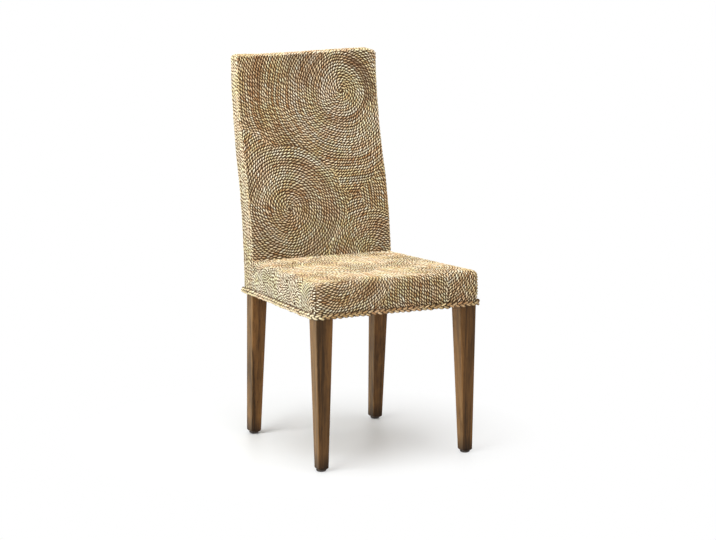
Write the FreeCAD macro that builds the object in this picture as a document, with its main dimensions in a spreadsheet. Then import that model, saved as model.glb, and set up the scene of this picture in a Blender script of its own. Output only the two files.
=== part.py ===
import FreeCAD, Part
import math
import os
import re
import Sketcher

# A high-backed dining chair: a joined hardwood frame, its seat and back dressed in coiled rope.
# Millimetres. +Z is up, the chair faces -Y, and the origin is on the floor under the middle of
# the whole chair. Inside this file Y starts at the front face of the seat; BACK_TO_MIDDLE moves
# every piece from there to the origin.

SIZES = [
    ("total_height", 1020, "floor to the top of the back"),
    ("seat_height", 481, "floor to the top of the seat"),
    ("skirt_height", 90, "top of the seat down to the lower edge of the rope dress"),
    ("front_wide", 473.6, "seat width at its front face"),
    ("back_face", 423, "seat front to the face of the back, at the seat"),
    ("side_draw_in", 23.3, "how far each side of the seat draws in by the back"),
    ("back_thick", 55.3, "thickness of the back at its foot"),
    ("bend_rise", 344.5, "height above the hem where the back changes its curve"),
    ("front_low_radius", 1255, "lower curve of the face of the back"),
    ("front_high_radius", 1187, "upper curve of the face of the back"),
    ("rear_low_radius", 1503, "lower curve of the rear of the back"),
    ("rear_high_radius", 1304, "upper curve of the rear of the back"),
    ("rope_thick", 5.5, "thickness of the rope dress"),
    ("fit_gap", 0.3, "clearance between neighbouring pieces"),
    ("glue_gap", 0.1, "clearance round tenons, screws and nails"),
    ("seat_corner_round", 12, "upright corners of the seat"),
    ("seat_edge_round", 11, "upper edges of the seat"),
    ("back_corner_round", 12, "top corners of the back"),
    ("back_edge_round", 4.5, "long edges of the back"),
    ("hem_tall", 13, "height of the braid round the lower edge"),
    ("hem_proud", 7, "how far the braid stands out"),
    ("hem_bevel", 2.4, "bevel along the edges of the braid"),
    ("leg_wide", 47.2, "front leg at the hem, across"),
    ("leg_deep", 45.5, "front leg at the hem, front to rear"),
    ("leg_foot_wide", 28.5, "front leg at the floor, across"),
    ("leg_foot_deep", 28.2, "front leg at the floor, front to rear"),
    ("leg_side_inset", 6.3, "how far the outer side of a leg draws in by the floor"),
    ("leg_front_inset", 1.8, "how far the front of a front leg draws in by the floor"),
    ("post_wide", 43.9, "rear leg and back post, across"),
    ("post_foot_wide", 28.6, "rear leg at the floor, across"),
    ("post_foot_deep", 32.5, "rear leg at the floor, front to rear"),
    ("post_rake", 21.7, "how far the rear leg runs back by the floor"),
    ("leg_edge_round", 1.5, "long edges of the legs"),
    ("foot_bevel", 3, "bevel round the foot of each leg"),
    ("glide_tall", 6, "height of the glide under each foot"),
    ("glide_flat_radius", 5.5, "flat of the glide that meets the floor"),
    ("glide_radius", 11.5, "rim of the glide"),
    ("nail_wide", 2.8, "square nail of the glide"),
    ("nail_long", 16, "nail of the glide, above the foot"),
    ("rail_thick", 22, "thickness of the seat rails"),
    ("rail_rise", 6.2, "lower edge of the seat rails above the hem"),
    ("tenon_long", 16, "length of the rail tenons"),
    ("tenon_thick", 10, "thickness of the rail tenons"),
    ("tenon_shoulder", 10, "shoulder above and below each tenon"),
    ("block_reach", 50, "how far a corner block runs along each rail"),
    ("block_rise", 21, "lower face of a corner block above the rails' lower edge"),
    ("panel_thick", 12, "plywood panel of the seat"),
    ("screw_radius", 2, "seat screw shank"),
    ("screw_head_radius", 4.2, "seat screw head"),
    ("screw_head_tall", 2.4, "seat screw head"),
    ("screw_bite", 8, "how far a seat screw enters the panel"),
    ("screw_inset", 7, "seat screw from the inner corner of its leg, across and along"),
    ("lining_thick", 3, "plywood linings of the back"),
    ("back_rail_tall", 45, "height of the rails inside the back"),
    ("low_rail_rise", 14, "lower edge of the low rail above the seat"),
    ("loose_tenon_tall", 28, "loose tenons of the back rails"),
    ("loose_tenon_thick", 8, "loose tenons of the back rails"),
    ("loose_tenon_long", 18, "how far a loose tenon enters each piece"),
]

SIDES = {"left": -1, "right": 1}
SAME_PLACE = 1e-4

# Places worked out from the sizes, as formulas of the sheet.
OVERRUN = "rail_thick"
HEM = "(seat_height - skirt_height)"
BACK_WIDE = "(front_wide - 2 * side_draw_in)"
NARROWING = "(side_draw_in / back_face)"
SKIN = "(rope_thick + fit_gap)"
LINED = "(rope_thick + lining_thick + 2 * fit_gap)"
BACK_START = (
    "(back_face - front_low_radius"
    " + sqrt(front_low_radius ^ 2 - skirt_height ^ 2))"
)
BACK_END = f"({BACK_START} + back_thick)"
PANEL_TOP = "(seat_height - rope_thick - fit_gap)"
PANEL_UNDER = f"({PANEL_TOP} - panel_thick)"
RAIL_UNDER = f"({HEM} + rail_rise)"
BLOCK_UNDER = f"({RAIL_UNDER} + block_rise)"
LEG_REAR = f"({SKIN} + leg_deep)"
POST_FRONT = f"({BACK_START} + {LINED})"
POST_REAR = f"({BACK_END} - {LINED})"
POST_OUTER = f"({BACK_WIDE} / 2 - {SKIN})"
POST_INNER = f"({POST_OUTER} - post_wide)"
POST_MIDDLE = f"({POST_OUTER} - post_wide / 2)"
LEG_OUTER = f"(front_wide / 2 - {NARROWING} * {SKIN} - {SKIN})"
LEG_INNER = f"({LEG_OUTER} - leg_wide)"
REAR_RAIL_FRONT = f"(({POST_FRONT} + {POST_REAR}) / 2 - rail_thick / 2)"
LINING_TOP = f"(total_height - {SKIN})"
FRONT_FOOT = (f"({LEG_OUTER} - leg_side_inset)", f"({SKIN} + leg_front_inset)")
REAR_FOOT = (f"({POST_OUTER} - leg_side_inset)", f"({POST_REAR} + post_rake)")
# The cut across each front corner of the braid's ring, just outside the round that it follows.
CORNER_CUT = "(seat_corner_round / 2)"

SCREW_PLACES = {
    "front": (f"({LEG_INNER} - screw_inset)", f"({LEG_REAR} + screw_inset)"),
    "rear": (f"({POST_INNER} - screw_inset)", f"({POST_FRONT} - screw_inset)"),
}


def high_curve_place(low_radius, high_radius, start, height):
    """Formula for the depth of the back's upper curve at a height, centred past its bend."""
    bend_sine = f"(bend_rise / {low_radius})"
    radii = f"({low_radius} + {high_radius})"
    centre_height = f"({HEM} + {radii} * {bend_sine})"
    centre_depth = f"({start} + {low_radius} - {radii} * sqrt(1 - {bend_sine} ^ 2))"
    return f"({centre_depth} + sqrt({high_radius} ^ 2 - ({centre_height} - {height}) ^ 2))"


def low_curve_place(low_radius, start, height):
    """Formula for the depth of the back's lower curve at a height."""
    return f"({start} + {low_radius} - sqrt({low_radius} ^ 2 - ({height} - {HEM}) ^ 2))"


def back_middle(height, above_bend):
    """Formula for the depth of the middle of the back at a height."""
    if above_bend:
        face = high_curve_place("front_low_radius", "front_high_radius", BACK_START, height)
        rear = high_curve_place("rear_low_radius", "rear_high_radius", BACK_END, height)
    else:
        face = low_curve_place("front_low_radius", BACK_START, height)
        rear = low_curve_place("rear_low_radius", BACK_END, height)
    return f"(({face} + {rear}) / 2)"


def back_rail(low, above_bend):
    """Lower edge, upper edge, middle and depth of the middle of a rail in the back."""
    middle = f"({low} + back_rail_tall / 2)"
    return low, f"({low} + back_rail_tall)", middle, back_middle(middle, above_bend)


BACK_RAILS = {
    "back_low_rail": back_rail("(seat_height + low_rail_rise)", False),
    "back_middle_rail": back_rail(f"({HEM} + bend_rise - back_rail_tall / 2)", False),
    "back_top_rail": back_rail(f"({LINING_TOP} - back_rail_tall)", True),
}
REARMOST = high_curve_place("rear_low_radius", "rear_high_radius", BACK_END, "total_height")
BACK_TO_MIDDLE = f"(hem_proud / 2 - {REARMOST} / 2)"

doc = FreeCAD.newDocument("dining_chair")
sheet = doc.addObject("Spreadsheet::Sheet", "Sizes")
for row, (alias, value, note) in enumerate(SIZES, start=1):
    sheet.set(f"A{row}", alias)
    sheet.set(f"B{row}", str(value))
    sheet.setAlias(f"B{row}", alias)
    sheet.set(f"C{row}", note)
doc.recompute()


def formula(text):
    """Points every size named in the text at its cell of the sheet."""
    return re.sub(r"[a-z]+(?:_[a-z]+)+", lambda found: "Sizes." + found.group(), text)


def number(text):
    """The value that a formula has now."""
    return float(sheet.evalExpression(formula(text)))


def new_body(label, shift_x="0", shift_y="0"):
    """A body with its own name, moved from the drawing's place to the chair's frame."""
    body = doc.addObject("PartDesign::Body", label)
    body.Label = label
    body.setExpression("Placement.Base.x", formula(shift_x))
    body.setExpression("Placement.Base.y", formula(f"{BACK_TO_MIDDLE} + {shift_y}"))
    return body


def new_sketch(body, role, offset="0"):
    """A sketch on one of the body's own planes, moved along the plane's normal."""
    sketch = body.newObject("Sketcher::SketchObject", f"{body.Name}_sketch")
    plane = next(item for item in body.Origin.OriginFeatures if item.Role == role)
    sketch.AttachmentSupport = [(plane, "")]
    sketch.MapMode = "FlatFace"
    sketch.setExpression("AttachmentOffset.Base.z", formula(offset))
    return sketch


def bind(sketch, kind, *parts):
    """A dimension of the sketch whose value follows a formula, the last of the parts."""
    *places, text = parts
    index = sketch.addConstraint(Sketcher.Constraint(kind, *places, number(text)))
    sketch.setExpression(f"Constraints[{index}]", formula(text))


def pin_point(sketch, edge, end, place_x, place_y):
    """Fixes one end of an edge, measured from the sketch's origin."""
    bind(sketch, "DistanceX", -1, 1, edge, end, place_x)
    bind(sketch, "DistanceY", -1, 1, edge, end, place_y)


def draw_outline(sketch, corners):
    """A closed outline of straight edges through corners given as formulas."""
    points = [FreeCAD.Vector(number(x), number(y), 0) for x, y in corners]
    edges = []
    for here, there in zip(points, points[1:] + points[:1]):
        edges.append(sketch.addGeometry(Part.LineSegment(here, there), False))
    for before, edge in zip(edges[-1:] + edges[:-1], edges):
        sketch.addConstraint(Sketcher.Constraint("Coincident", before, 2, edge, 1))
    for edge, (x, y) in zip(edges, corners):
        pin_point(sketch, edge, 1, x, y)


def rectangle(low_x, high_x, low_y, high_y):
    """Corners of a rectangle."""
    return [(low_x, low_y), (high_x, low_y), (high_x, high_y), (low_x, high_y)]


def mirrored(corners, side):
    """Corners drawn for the chair's right, put on the given side."""
    return [(f"{side} * ({x})", y) for x, y in corners]


def draw_circle(sketch, x, y, radius):
    """A circle whose centre and radius follow formulas."""
    centre = FreeCAD.Vector(number(x), number(y), 0)
    circle = sketch.addGeometry(Part.Circle(centre, FreeCAD.Vector(0, 0, 1), number(radius)))
    pin_point(sketch, circle, 3, x, y)
    bind(sketch, "Radius", circle, radius)


def draw_leaning_edge(sketch, face, inset, low, high):
    """One curved edge of the back seen from the side: two arcs that meet smoothly.

    The inset is measured towards the middle of the back, square to the curve.
    """
    start = BACK_START if face == "front" else BACK_END
    sign = "-" if face == "front" else "+"
    other = "+" if face == "front" else "-"
    low_size = f"{face}_low_radius"
    low_radius = f"({low_size} {sign} {inset})"
    high_radius = f"({face}_high_radius {other} {inset})"
    bend_height = f"({HEM} + {low_radius} * bend_rise / {low_size})"
    turn = math.asin(number(f"bend_rise / {low_size}"))
    flat = FreeCAD.Vector(0, 0, 1)
    centre = FreeCAD.Vector(number(f"{start} + {low_size}"), number(HEM), 0)
    along = FreeCAD.Vector(-math.cos(turn), math.sin(turn), 0)
    far_centre = centre + along * number(f"{low_radius} + {high_radius}")
    low_angle = math.pi - math.asin(number(f"({low} - {HEM}) / {low_radius}"))
    high_angle = -math.asin((far_centre.y - number(high)) / number(high_radius))
    lower = Part.Circle(centre, flat, number(low_radius))
    upper = Part.Circle(far_centre, flat, number(high_radius))
    lower_arc = sketch.addGeometry(Part.ArcOfCircle(lower, math.pi - turn, low_angle), False)
    upper_arc = sketch.addGeometry(Part.ArcOfCircle(upper, -turn, high_angle), False)
    sketch.addConstraint(Sketcher.Constraint("Tangent", lower_arc, 1, upper_arc, 1))
    pin_point(sketch, lower_arc, 3, f"{start} + {low_size}", HEM)
    bind(sketch, "Radius", lower_arc, low_radius)
    bind(sketch, "Radius", upper_arc, high_radius)
    bind(sketch, "DistanceY", -1, 1, lower_arc, 1, bend_height)
    return lower_arc, upper_arc


def draw_leaning_layer(sketch, near, far, low, high):
    """A closed side view of one layer of the back, between two faces and two heights."""
    near_arcs = draw_leaning_edge(sketch, *near, low, high)
    far_arcs = draw_leaning_edge(sketch, *far, low, high)
    for near_arc, far_arc, height in zip(near_arcs, far_arcs, (low, high)):
        ends = [sketch.getPoint(arc, 2) for arc in (near_arc, far_arc)]
        line = sketch.addGeometry(Part.LineSegment(*ends), False)
        sketch.addConstraint(Sketcher.Constraint("Coincident", line, 1, near_arc, 2))
        sketch.addConstraint(Sketcher.Constraint("Coincident", line, 2, far_arc, 2))
        sketch.addConstraint(Sketcher.Constraint("Horizontal", line))
        bind(sketch, "DistanceY", -1, 1, near_arc, 2, height)


def thicken(body, kind, sketch, length):
    """A pad or a pocket that runs the same way to both sides of its sketch."""
    before = body.Shape.Volume if body.Shape.Solids else 0
    feature = body.newObject(f"PartDesign::{kind}", f"{body.Name}_{kind.lower()}")
    feature.Profile = sketch
    feature.SideType = "Symmetric"
    feature.setExpression("Length", formula(length))
    sketch.Visibility = False
    doc.recompute()
    if kind == "Pocket" and not body.Shape.Volume < before:
        raise ValueError(f"{feature.Name} cut nothing")
    return feature


def pad_between(body, sketch_role, low, high, corners):
    """A straight block between two places along the plane's normal."""
    sketch = new_sketch(body, sketch_role, f"({low} + {high}) / 2")
    draw_outline(sketch, corners)
    return thicken(body, "Pad", sketch, f"{high} - {low}")


def pocket_between(body, sketch_role, low, high, corners):
    """A straight cut between two places along the plane's normal."""
    sketch = new_sketch(body, sketch_role, f"({low} + {high}) / 2")
    draw_outline(sketch, corners)
    return thicken(body, "Pocket", sketch, f"{high} - {low}")


def edges_where(feature, test):
    """Names of the edges of a feature that pass the test."""
    edges = enumerate(feature.Shape.Edges, start=1)
    return [f"Edge{index}" for index, edge in edges if test(edge)]


def dress_edges(body, kind, feature, size, text, test):
    """A fillet or chamfer on the edges of a feature that pass the test."""
    dressing = body.newObject(f"PartDesign::{kind}", f"{body.Name}_{kind.lower()}")
    dressing.Base = (feature, edges_where(feature, test))
    dressing.setExpression(size, formula(text))
    doc.recompute()
    return dressing


def is_upright(edge):
    """True for a straight edge that runs mostly up and down."""
    way = edge.Vertexes[-1].Point - edge.Vertexes[0].Point
    return abs(way.z) > 2 * abs(way.x) + 2 * abs(way.y)


def lies_at(edge, axis, place):
    """True for an edge that lies wholly at one place along an axis."""
    box = edge.BoundBox
    low, high = getattr(box, f"{axis}Min"), getattr(box, f"{axis}Max")
    return abs(low - place) < SAME_PLACE and abs(high - place) < SAME_PLACE


def lies_at_side(edge, place):
    """True for an edge that lies wholly on one side of the chair."""
    return any(lies_at(edge, "X", side * place) for side in SIDES.values())


def seat_half(depth, inset="0"):
    """Formula for the seat's half width at a depth, less an inset."""
    return f"(front_wide / 2 - {NARROWING} * ({depth}) - {inset})"


def seat_outline(front, rear, inset):
    """The seat's outline seen from above, narrower to the rear."""
    corners = [(seat_half(front, inset), front), (seat_half(rear, inset), rear)]
    return mirrored(corners, "-1") + corners[::-1]


def tapered_leg(body, side, foot, foot_tip, top):
    """The part of a leg that shows: a bevelled foot, then straight sides up to the hem."""
    sections = []
    heights = ("glide_tall", "glide_tall + foot_bevel", HEM)
    for corners, height in zip((foot_tip, foot, top), heights):
        sketch = new_sketch(body, "XY_Plane", height)
        draw_outline(sketch, mirrored(corners, side))
        sections.append(sketch)
    loft = body.newObject("PartDesign::AdditiveLoft", f"{body.Name}_taper")
    loft.Profile = sections[0]
    loft.Sections = sections[1:]
    loft.Ruled = True
    doc.recompute()


def nail_hole(body, side, foot_x, foot_y):
    """The hole for the glide's nail, in the foot of a leg."""
    half = "(nail_wide / 2 + glue_gap)"
    across = (f"({foot_x} - {half})", f"({foot_x} + {half})")
    along = (f"({foot_y} - {half})", f"({foot_y} + {half})")
    sketch = new_sketch(body, "XY_Plane", "glide_tall")
    draw_outline(sketch, mirrored(rectangle(*across, *along), side))
    thicken(body, "Pocket", sketch, "2 * (nail_long + glue_gap)")


def front_foot_middle():
    """Formulas for the middle of a front foot."""
    x, y = FRONT_FOOT
    return f"({x} - leg_foot_wide / 2)", f"({y} + leg_foot_deep / 2)"


def rear_foot_middle():
    """Formulas for the middle of a rear foot."""
    x, y = REAR_FOOT
    return f"({x} - post_foot_wide / 2)", f"({y} - post_foot_deep / 2)"


def leg_section(outer, front, wide, deep, draw_in="0", inset="0"):
    """A leg cut across, its four corners eased.

    The outer side may draw in towards the rear, and an inset shrinks the whole outline.
    """
    inner = f"({outer} - {wide} + {inset})"
    outer_front = f"({outer} - {inset})"
    outer_rear = f"({outer} - {draw_in} * {deep} - {inset})"
    near = f"({front} + {inset})"
    far = f"({front} + {deep} - {inset})"
    ease = "leg_edge_round"
    return [
        (f"({inner} + {ease})", near),
        (f"({outer_front} - {ease})", near),
        (outer_front, f"({near} + {ease})"),
        (outer_rear, f"({far} - {ease})"),
        (f"({outer_rear} - {ease})", far),
        (f"({inner} + {ease})", far),
        (inner, f"({far} - {ease})"),
        (inner, f"({near} + {ease})"),
    ]


def front_mortises(body, side):
    """Sockets in a front leg for the front rail and the side rail."""
    low = f"({RAIL_UNDER} + tenon_shoulder - glue_gap)"
    high = f"({PANEL_UNDER} - tenon_shoulder + glue_gap)"
    front = f"({SKIN} + rail_thick / 2 - tenon_thick / 2 - glue_gap)"
    rear = f"({SKIN} + rail_thick / 2 + tenon_thick / 2 + glue_gap)"
    deep = f"({LEG_INNER} + tenon_long + glue_gap)"
    socket = rectangle(f"({LEG_INNER} - glue_gap)", deep, front, rear)
    pocket_between(body, "XY_Plane", low, high, mirrored(socket, side))
    start = f"({LEG_REAR} - tenon_long - glue_gap)"
    socket = side_tenon(start, f"({LEG_REAR} + glue_gap)", "glue_gap")
    pocket_between(body, "XY_Plane", low, high, mirrored(socket, side))


def side_tenon(start, end, ease):
    """The side rail's tenon seen from above, between two depths."""
    outer = f"({SKIN} + rail_thick / 2 - tenon_thick / 2 - {ease})"
    inner = f"({SKIN} + rail_thick / 2 + tenon_thick / 2 + {ease})"
    return [
        (seat_half(start, inner), start),
        (seat_half(start, outer), start),
        (seat_half(end, outer), end),
        (seat_half(end, inner), end),
    ]


def make_front_leg(name, side):
    """A front leg: tapered below the rope, square above it, with two sockets."""
    body = new_body(f"front_leg_{name}")
    foot = (*FRONT_FOOT, "leg_foot_wide", "leg_foot_deep", NARROWING)
    top = leg_section(LEG_OUTER, SKIN, "leg_wide", "leg_deep", NARROWING)
    tapered_leg(body, side, leg_section(*foot), leg_section(*foot, "foot_bevel"), top)
    pad_between(body, "XY_Plane", HEM, PANEL_UNDER, mirrored(top, side))
    front_mortises(body, side)
    nail_hole(body, side, *front_foot_middle())


def rear_mortises(body, side):
    """Sockets in a rear leg for the rear rail and the side rail."""
    low = f"({RAIL_UNDER} + tenon_shoulder - glue_gap)"
    high = f"({PANEL_UNDER} - tenon_shoulder + glue_gap)"
    front = f"({REAR_RAIL_FRONT} + rail_thick / 2 - tenon_thick / 2 - glue_gap)"
    rear = f"({REAR_RAIL_FRONT} + rail_thick / 2 + tenon_thick / 2 + glue_gap)"
    deep = f"({POST_INNER} + tenon_long + glue_gap)"
    socket = rectangle(f"({POST_INNER} - glue_gap)", deep, front, rear)
    pocket_between(body, "XY_Plane", low, high, mirrored(socket, side))
    end = f"({POST_FRONT} + tenon_long + glue_gap)"
    socket = side_tenon(f"({POST_FRONT} - glue_gap)", end, "glue_gap")
    pocket_between(body, "XY_Plane", low, high, mirrored(socket, side))


def loose_tenon_socket(body, side, height, depth):
    """A socket for a loose tenon in the face where a back rail meets a post."""
    half_tall = "(loose_tenon_tall / 2 + glue_gap)"
    half_thick = "(loose_tenon_thick / 2 + glue_gap)"
    front, rear = f"({depth} - {half_thick})", f"({depth} + {half_thick})"
    low, high = f"({height} - {half_tall})", f"({height} + {half_tall})"
    sketch = new_sketch(body, "YZ_Plane", f"{side} * {POST_INNER}")
    draw_outline(sketch, rectangle(front, rear, low, high))
    thicken(body, "Pocket", sketch, "2 * (loose_tenon_long + glue_gap)")


def make_rear_leg(name, side):
    """A rear leg and back post in one: raked below, and curved inside the back."""
    body = new_body(f"rear_leg_{name}")
    foot_outer, foot_rear = REAR_FOOT
    foot_front = f"({foot_rear} - post_foot_deep)"
    foot = (foot_outer, foot_front, "post_foot_wide", "post_foot_deep", "0")
    top = leg_section(POST_OUTER, POST_FRONT, "post_wide", f"({POST_REAR} - {POST_FRONT})")
    tapered_leg(body, side, leg_section(*foot), leg_section(*foot, "foot_bevel"), top)
    sketch = new_sketch(body, "YZ_Plane", f"{side} * {POST_MIDDLE}")
    draw_leaning_layer(sketch, ("front", LINED), ("rear", LINED), HEM, LINING_TOP)
    thicken(body, "Pad", sketch, "post_wide")
    rear_mortises(body, side)
    for _, _, height, depth in BACK_RAILS.values():
        loose_tenon_socket(body, side, height, depth)
    nail_hole(body, side, *rear_foot_middle())


def make_cross_rail(label, front, half_wide):
    """A seat rail from leg to leg, with a tenon at each end."""
    body = new_body(label)
    plan = rectangle(f"(-{half_wide})", half_wide, front, f"({front} + rail_thick)")
    pad_between(body, "XY_Plane", RAIL_UNDER, PANEL_UNDER, plan)
    reach = f"({half_wide} + tenon_long)"
    tenon_front = f"({front} + rail_thick / 2 - tenon_thick / 2)"
    tenon_rear = f"({front} + rail_thick / 2 + tenon_thick / 2)"
    plan = rectangle(f"(-{reach})", reach, tenon_front, tenon_rear)
    low = f"({RAIL_UNDER} + tenon_shoulder)"
    pad_between(body, "XY_Plane", low, f"({PANEL_UNDER} - tenon_shoulder)", plan)


def make_side_rail(name, side):
    """A seat rail from front leg to rear leg, along the drawn-in side of the seat."""
    body = new_body(f"{name}_rail")
    inner = f"({SKIN} + rail_thick)"
    plan = [
        (seat_half(LEG_REAR, inner), LEG_REAR),
        (seat_half(LEG_REAR, SKIN), LEG_REAR),
        (seat_half(POST_FRONT, SKIN), POST_FRONT),
        (seat_half(POST_FRONT, inner), POST_FRONT),
    ]
    pad_between(body, "XY_Plane", RAIL_UNDER, PANEL_UNDER, mirrored(plan, side))
    plan = side_tenon(f"({LEG_REAR} - tenon_long)", f"({POST_FRONT} + tenon_long)", "0")
    low = f"({RAIL_UNDER} + tenon_shoulder)"
    high = f"({PANEL_UNDER} - tenon_shoulder)"
    pad_between(body, "XY_Plane", low, high, mirrored(plan, side))


def block_plans():
    """Outlines from above of the chair's right corner blocks, each notched round its leg."""
    inner = f"({SKIN} + rail_thick)"
    front_end = f"({LEG_REAR} + block_reach)"
    rear_end = f"({POST_FRONT} - block_reach)"
    front = [
        (LEG_INNER, inner),
        (f"({LEG_INNER} - block_reach)", inner),
        (seat_half(front_end, inner), front_end),
        (seat_half(LEG_REAR, inner), LEG_REAR),
        (LEG_INNER, LEG_REAR),
    ]
    rear = [
        (POST_INNER, REAR_RAIL_FRONT),
        (f"({POST_INNER} - block_reach)", REAR_RAIL_FRONT),
        (seat_half(rear_end, inner), rear_end),
        (seat_half(POST_FRONT, inner), POST_FRONT),
        (POST_INNER, POST_FRONT),
    ]
    return {"front": front, "rear": rear}


def make_corner_block(end, name, side):
    """A glued block in a corner of the seat frame, with a hole for the seat's screw."""
    body = new_body(f"corner_block_{end}_{name}")
    plan = mirrored(block_plans()[end], side)
    pad_between(body, "XY_Plane", BLOCK_UNDER, PANEL_UNDER, plan)
    sketch = new_sketch(body, "XY_Plane", PANEL_UNDER)
    x, y = SCREW_PLACES[end]
    draw_circle(sketch, f"{side} * {x}", y, "screw_radius + glue_gap")
    thicken(body, "Pocket", sketch, f"2 * ({PANEL_UNDER} - {BLOCK_UNDER} + {OVERRUN})")


def make_seat_panel():
    """The plywood panel that carries the seat's rope, screwed on from below."""
    body = new_body("seat_panel")
    plan = seat_outline(SKIN, POST_FRONT, SKIN)
    pad_between(body, "XY_Plane", PANEL_UNDER, PANEL_TOP, plan)
    sketch = new_sketch(body, "XY_Plane", PANEL_UNDER)
    for x, y in SCREW_PLACES.values():
        for side in SIDES.values():
            draw_circle(sketch, f"{side} * {x}", y, "screw_radius + glue_gap")
    thicken(body, "Pocket", sketch, "2 * (screw_bite + glue_gap)")


def primitive(kind, label, place, **sizes):
    """A primitive solid whose sizes and place follow formulas."""
    solid = doc.addObject(f"Part::{kind}", label)
    for name, text in sizes.items():
        solid.setExpression(name, formula(text))
    x, y, z = place
    solid.setExpression("Placement.Base.x", formula(x))
    solid.setExpression("Placement.Base.y", formula(f"{BACK_TO_MIDDLE} + {y}"))
    solid.setExpression("Placement.Base.z", formula(z))
    return solid


def gather(label, solids):
    """One piece of the assembly that holds several like solids."""
    group = doc.addObject("Part::Compound", label)
    group.Label = label
    group.Links = solids


def make_seat_screws():
    """The screws that hold the seat panel, one up through each corner block."""
    screws = []
    long = f"({PANEL_UNDER} - {BLOCK_UNDER} + screw_bite)"
    for x, y in SCREW_PLACES.values():
        for side in SIDES.values():
            across = f"{side} * {x}"
            shank = primitive(
                "Cylinder", "screw_shank", (across, y, BLOCK_UNDER), Radius="screw_radius", Height=long
            )
            head = primitive(
                "Cone",
                "screw_head",
                (across, y, f"({BLOCK_UNDER} - screw_head_tall)"),
                Radius1="screw_radius",
                Radius2="screw_head_radius",
                Height="screw_head_tall",
            )
            screw = doc.addObject("Part::Fuse", "seat_screw")
            screw.Base, screw.Tool = shank, head
            screws.append(screw)
    gather("seat_screws", screws)


def make_back_rail(label):
    """A rail between the back posts, shaped to the curve of the back."""
    low, high, middle, depth = BACK_RAILS[label]
    body = new_body(label)
    sketch = new_sketch(body, "YZ_Plane")
    draw_leaning_layer(sketch, ("front", LINED), ("rear", LINED), HEM, LINING_TOP)
    thicken(body, "Pad", sketch, f"2 * {POST_INNER}")
    front = f"({BACK_START} - {OVERRUN})"
    rear = f"({REARMOST} + {OVERRUN})"
    sketch = new_sketch(body, "YZ_Plane")
    draw_outline(sketch, rectangle(front, rear, f"({HEM} - {OVERRUN})", low))
    if high != LINING_TOP:
        draw_outline(sketch, rectangle(front, rear, high, f"(total_height + {OVERRUN})"))
    thicken(body, "Pocket", sketch, BACK_WIDE)
    for side in SIDES.values():
        loose_tenon_socket(body, side, middle, depth)


def make_back_tenons():
    """The loose tenons between the back rails and the posts."""
    tenons = []
    for _, _, height, depth in BACK_RAILS.values():
        for side in SIDES.values():
            place = (
                f"{side} * {POST_INNER} - loose_tenon_long",
                f"{depth} - loose_tenon_thick / 2",
                f"{height} - loose_tenon_tall / 2",
            )
            tenon = primitive(
                "Box",
                "loose_tenon",
                place,
                Length="2 * loose_tenon_long",
                Width="loose_tenon_thick",
                Height="loose_tenon_tall",
            )
            tenons.append(tenon)
    gather("back_tenons", tenons)


def make_lining(label, near, far, low):
    """A thin curved plywood panel nailed over the back frame, under the rope."""
    body = new_body(label)
    sketch = new_sketch(body, "YZ_Plane")
    draw_leaning_layer(sketch, near, far, low, LINING_TOP)
    thicken(body, "Pad", sketch, f"{BACK_WIDE} - 2 * {SKIN}")


def make_seat_cover():
    """The rope dress of the seat: a cap over its top, front and sides."""
    body = new_body("seat_cover")
    rear = "(back_face - fit_gap)"
    block = pad_between(body, "XY_Plane", HEM, "seat_height", seat_outline("0", rear, "0"))
    corners = dress_edges(
        body,
        "Fillet",
        block,
        "Radius",
        "seat_corner_round",
        lambda edge: is_upright(edge) and lies_at(edge, "Y", 0),
    )
    top, rear_place = number("seat_height"), number(rear)
    dress_edges(
        body,
        "Fillet",
        corners,
        "Radius",
        "seat_edge_round",
        lambda edge: lies_at(edge, "Z", top) and not lies_at(edge, "Y", rear_place),
    )
    inside = seat_outline("rope_thick", f"({rear} + {OVERRUN})", "rope_thick")
    low = f"({HEM} - {OVERRUN})"
    pocket_between(body, "XY_Plane", low, "(seat_height - rope_thick)", inside)


def is_long_edge_of_back(edge):
    """True for the edges where the face or the rear of the back turns to its sides and top."""
    box = edge.BoundBox
    corner_low = number("total_height - back_corner_round") - SAME_PLACE
    over_top = box.ZMin > corner_low and box.YLength < number("back_corner_round")
    return box.ZLength > number("back_thick") or over_top


def make_back_cover():
    """The rope dress of the back: a sleeve closed at the top, open below for the frame."""
    body = new_body("back_cover")
    sketch = new_sketch(body, "YZ_Plane")
    draw_leaning_layer(sketch, ("front", "0"), ("rear", "0"), HEM, "total_height")
    slab = thicken(body, "Pad", sketch, BACK_WIDE)
    top, side_place = number("total_height"), number(f"{BACK_WIDE} / 2")
    corners = dress_edges(
        body,
        "Fillet",
        slab,
        "Radius",
        "back_corner_round",
        lambda edge: lies_at(edge, "Z", top) and lies_at_side(edge, side_place),
    )
    dress_edges(body, "Fillet", corners, "Radius", "back_edge_round", is_long_edge_of_back)
    below = f"({HEM} - {OVERRUN})"
    sketch = new_sketch(body, "YZ_Plane")
    inner_top = "(total_height - rope_thick)"
    draw_leaning_layer(sketch, ("front", "rope_thick"), ("rear", "rope_thick"), below, inner_top)
    thicken(body, "Pocket", sketch, f"{BACK_WIDE} - 2 * rope_thick")
    front = f"({BACK_START} - {OVERRUN})"
    sketch = new_sketch(body, "YZ_Plane")
    mouth_top = "(seat_height - rope_thick)"
    draw_outline(sketch, rectangle(front, f"({BACK_START} + {BACK_END}) / 2", below, mouth_top))
    thicken(body, "Pocket", sketch, f"{BACK_WIDE} - 2 * rope_thick")
    sketch = new_sketch(body, "YZ_Plane")
    draw_outline(sketch, rectangle(front, "back_face", below, "seat_height"))
    thicken(body, "Pocket", sketch, f"{BACK_WIDE} + 2 * {OVERRUN}")


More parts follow.
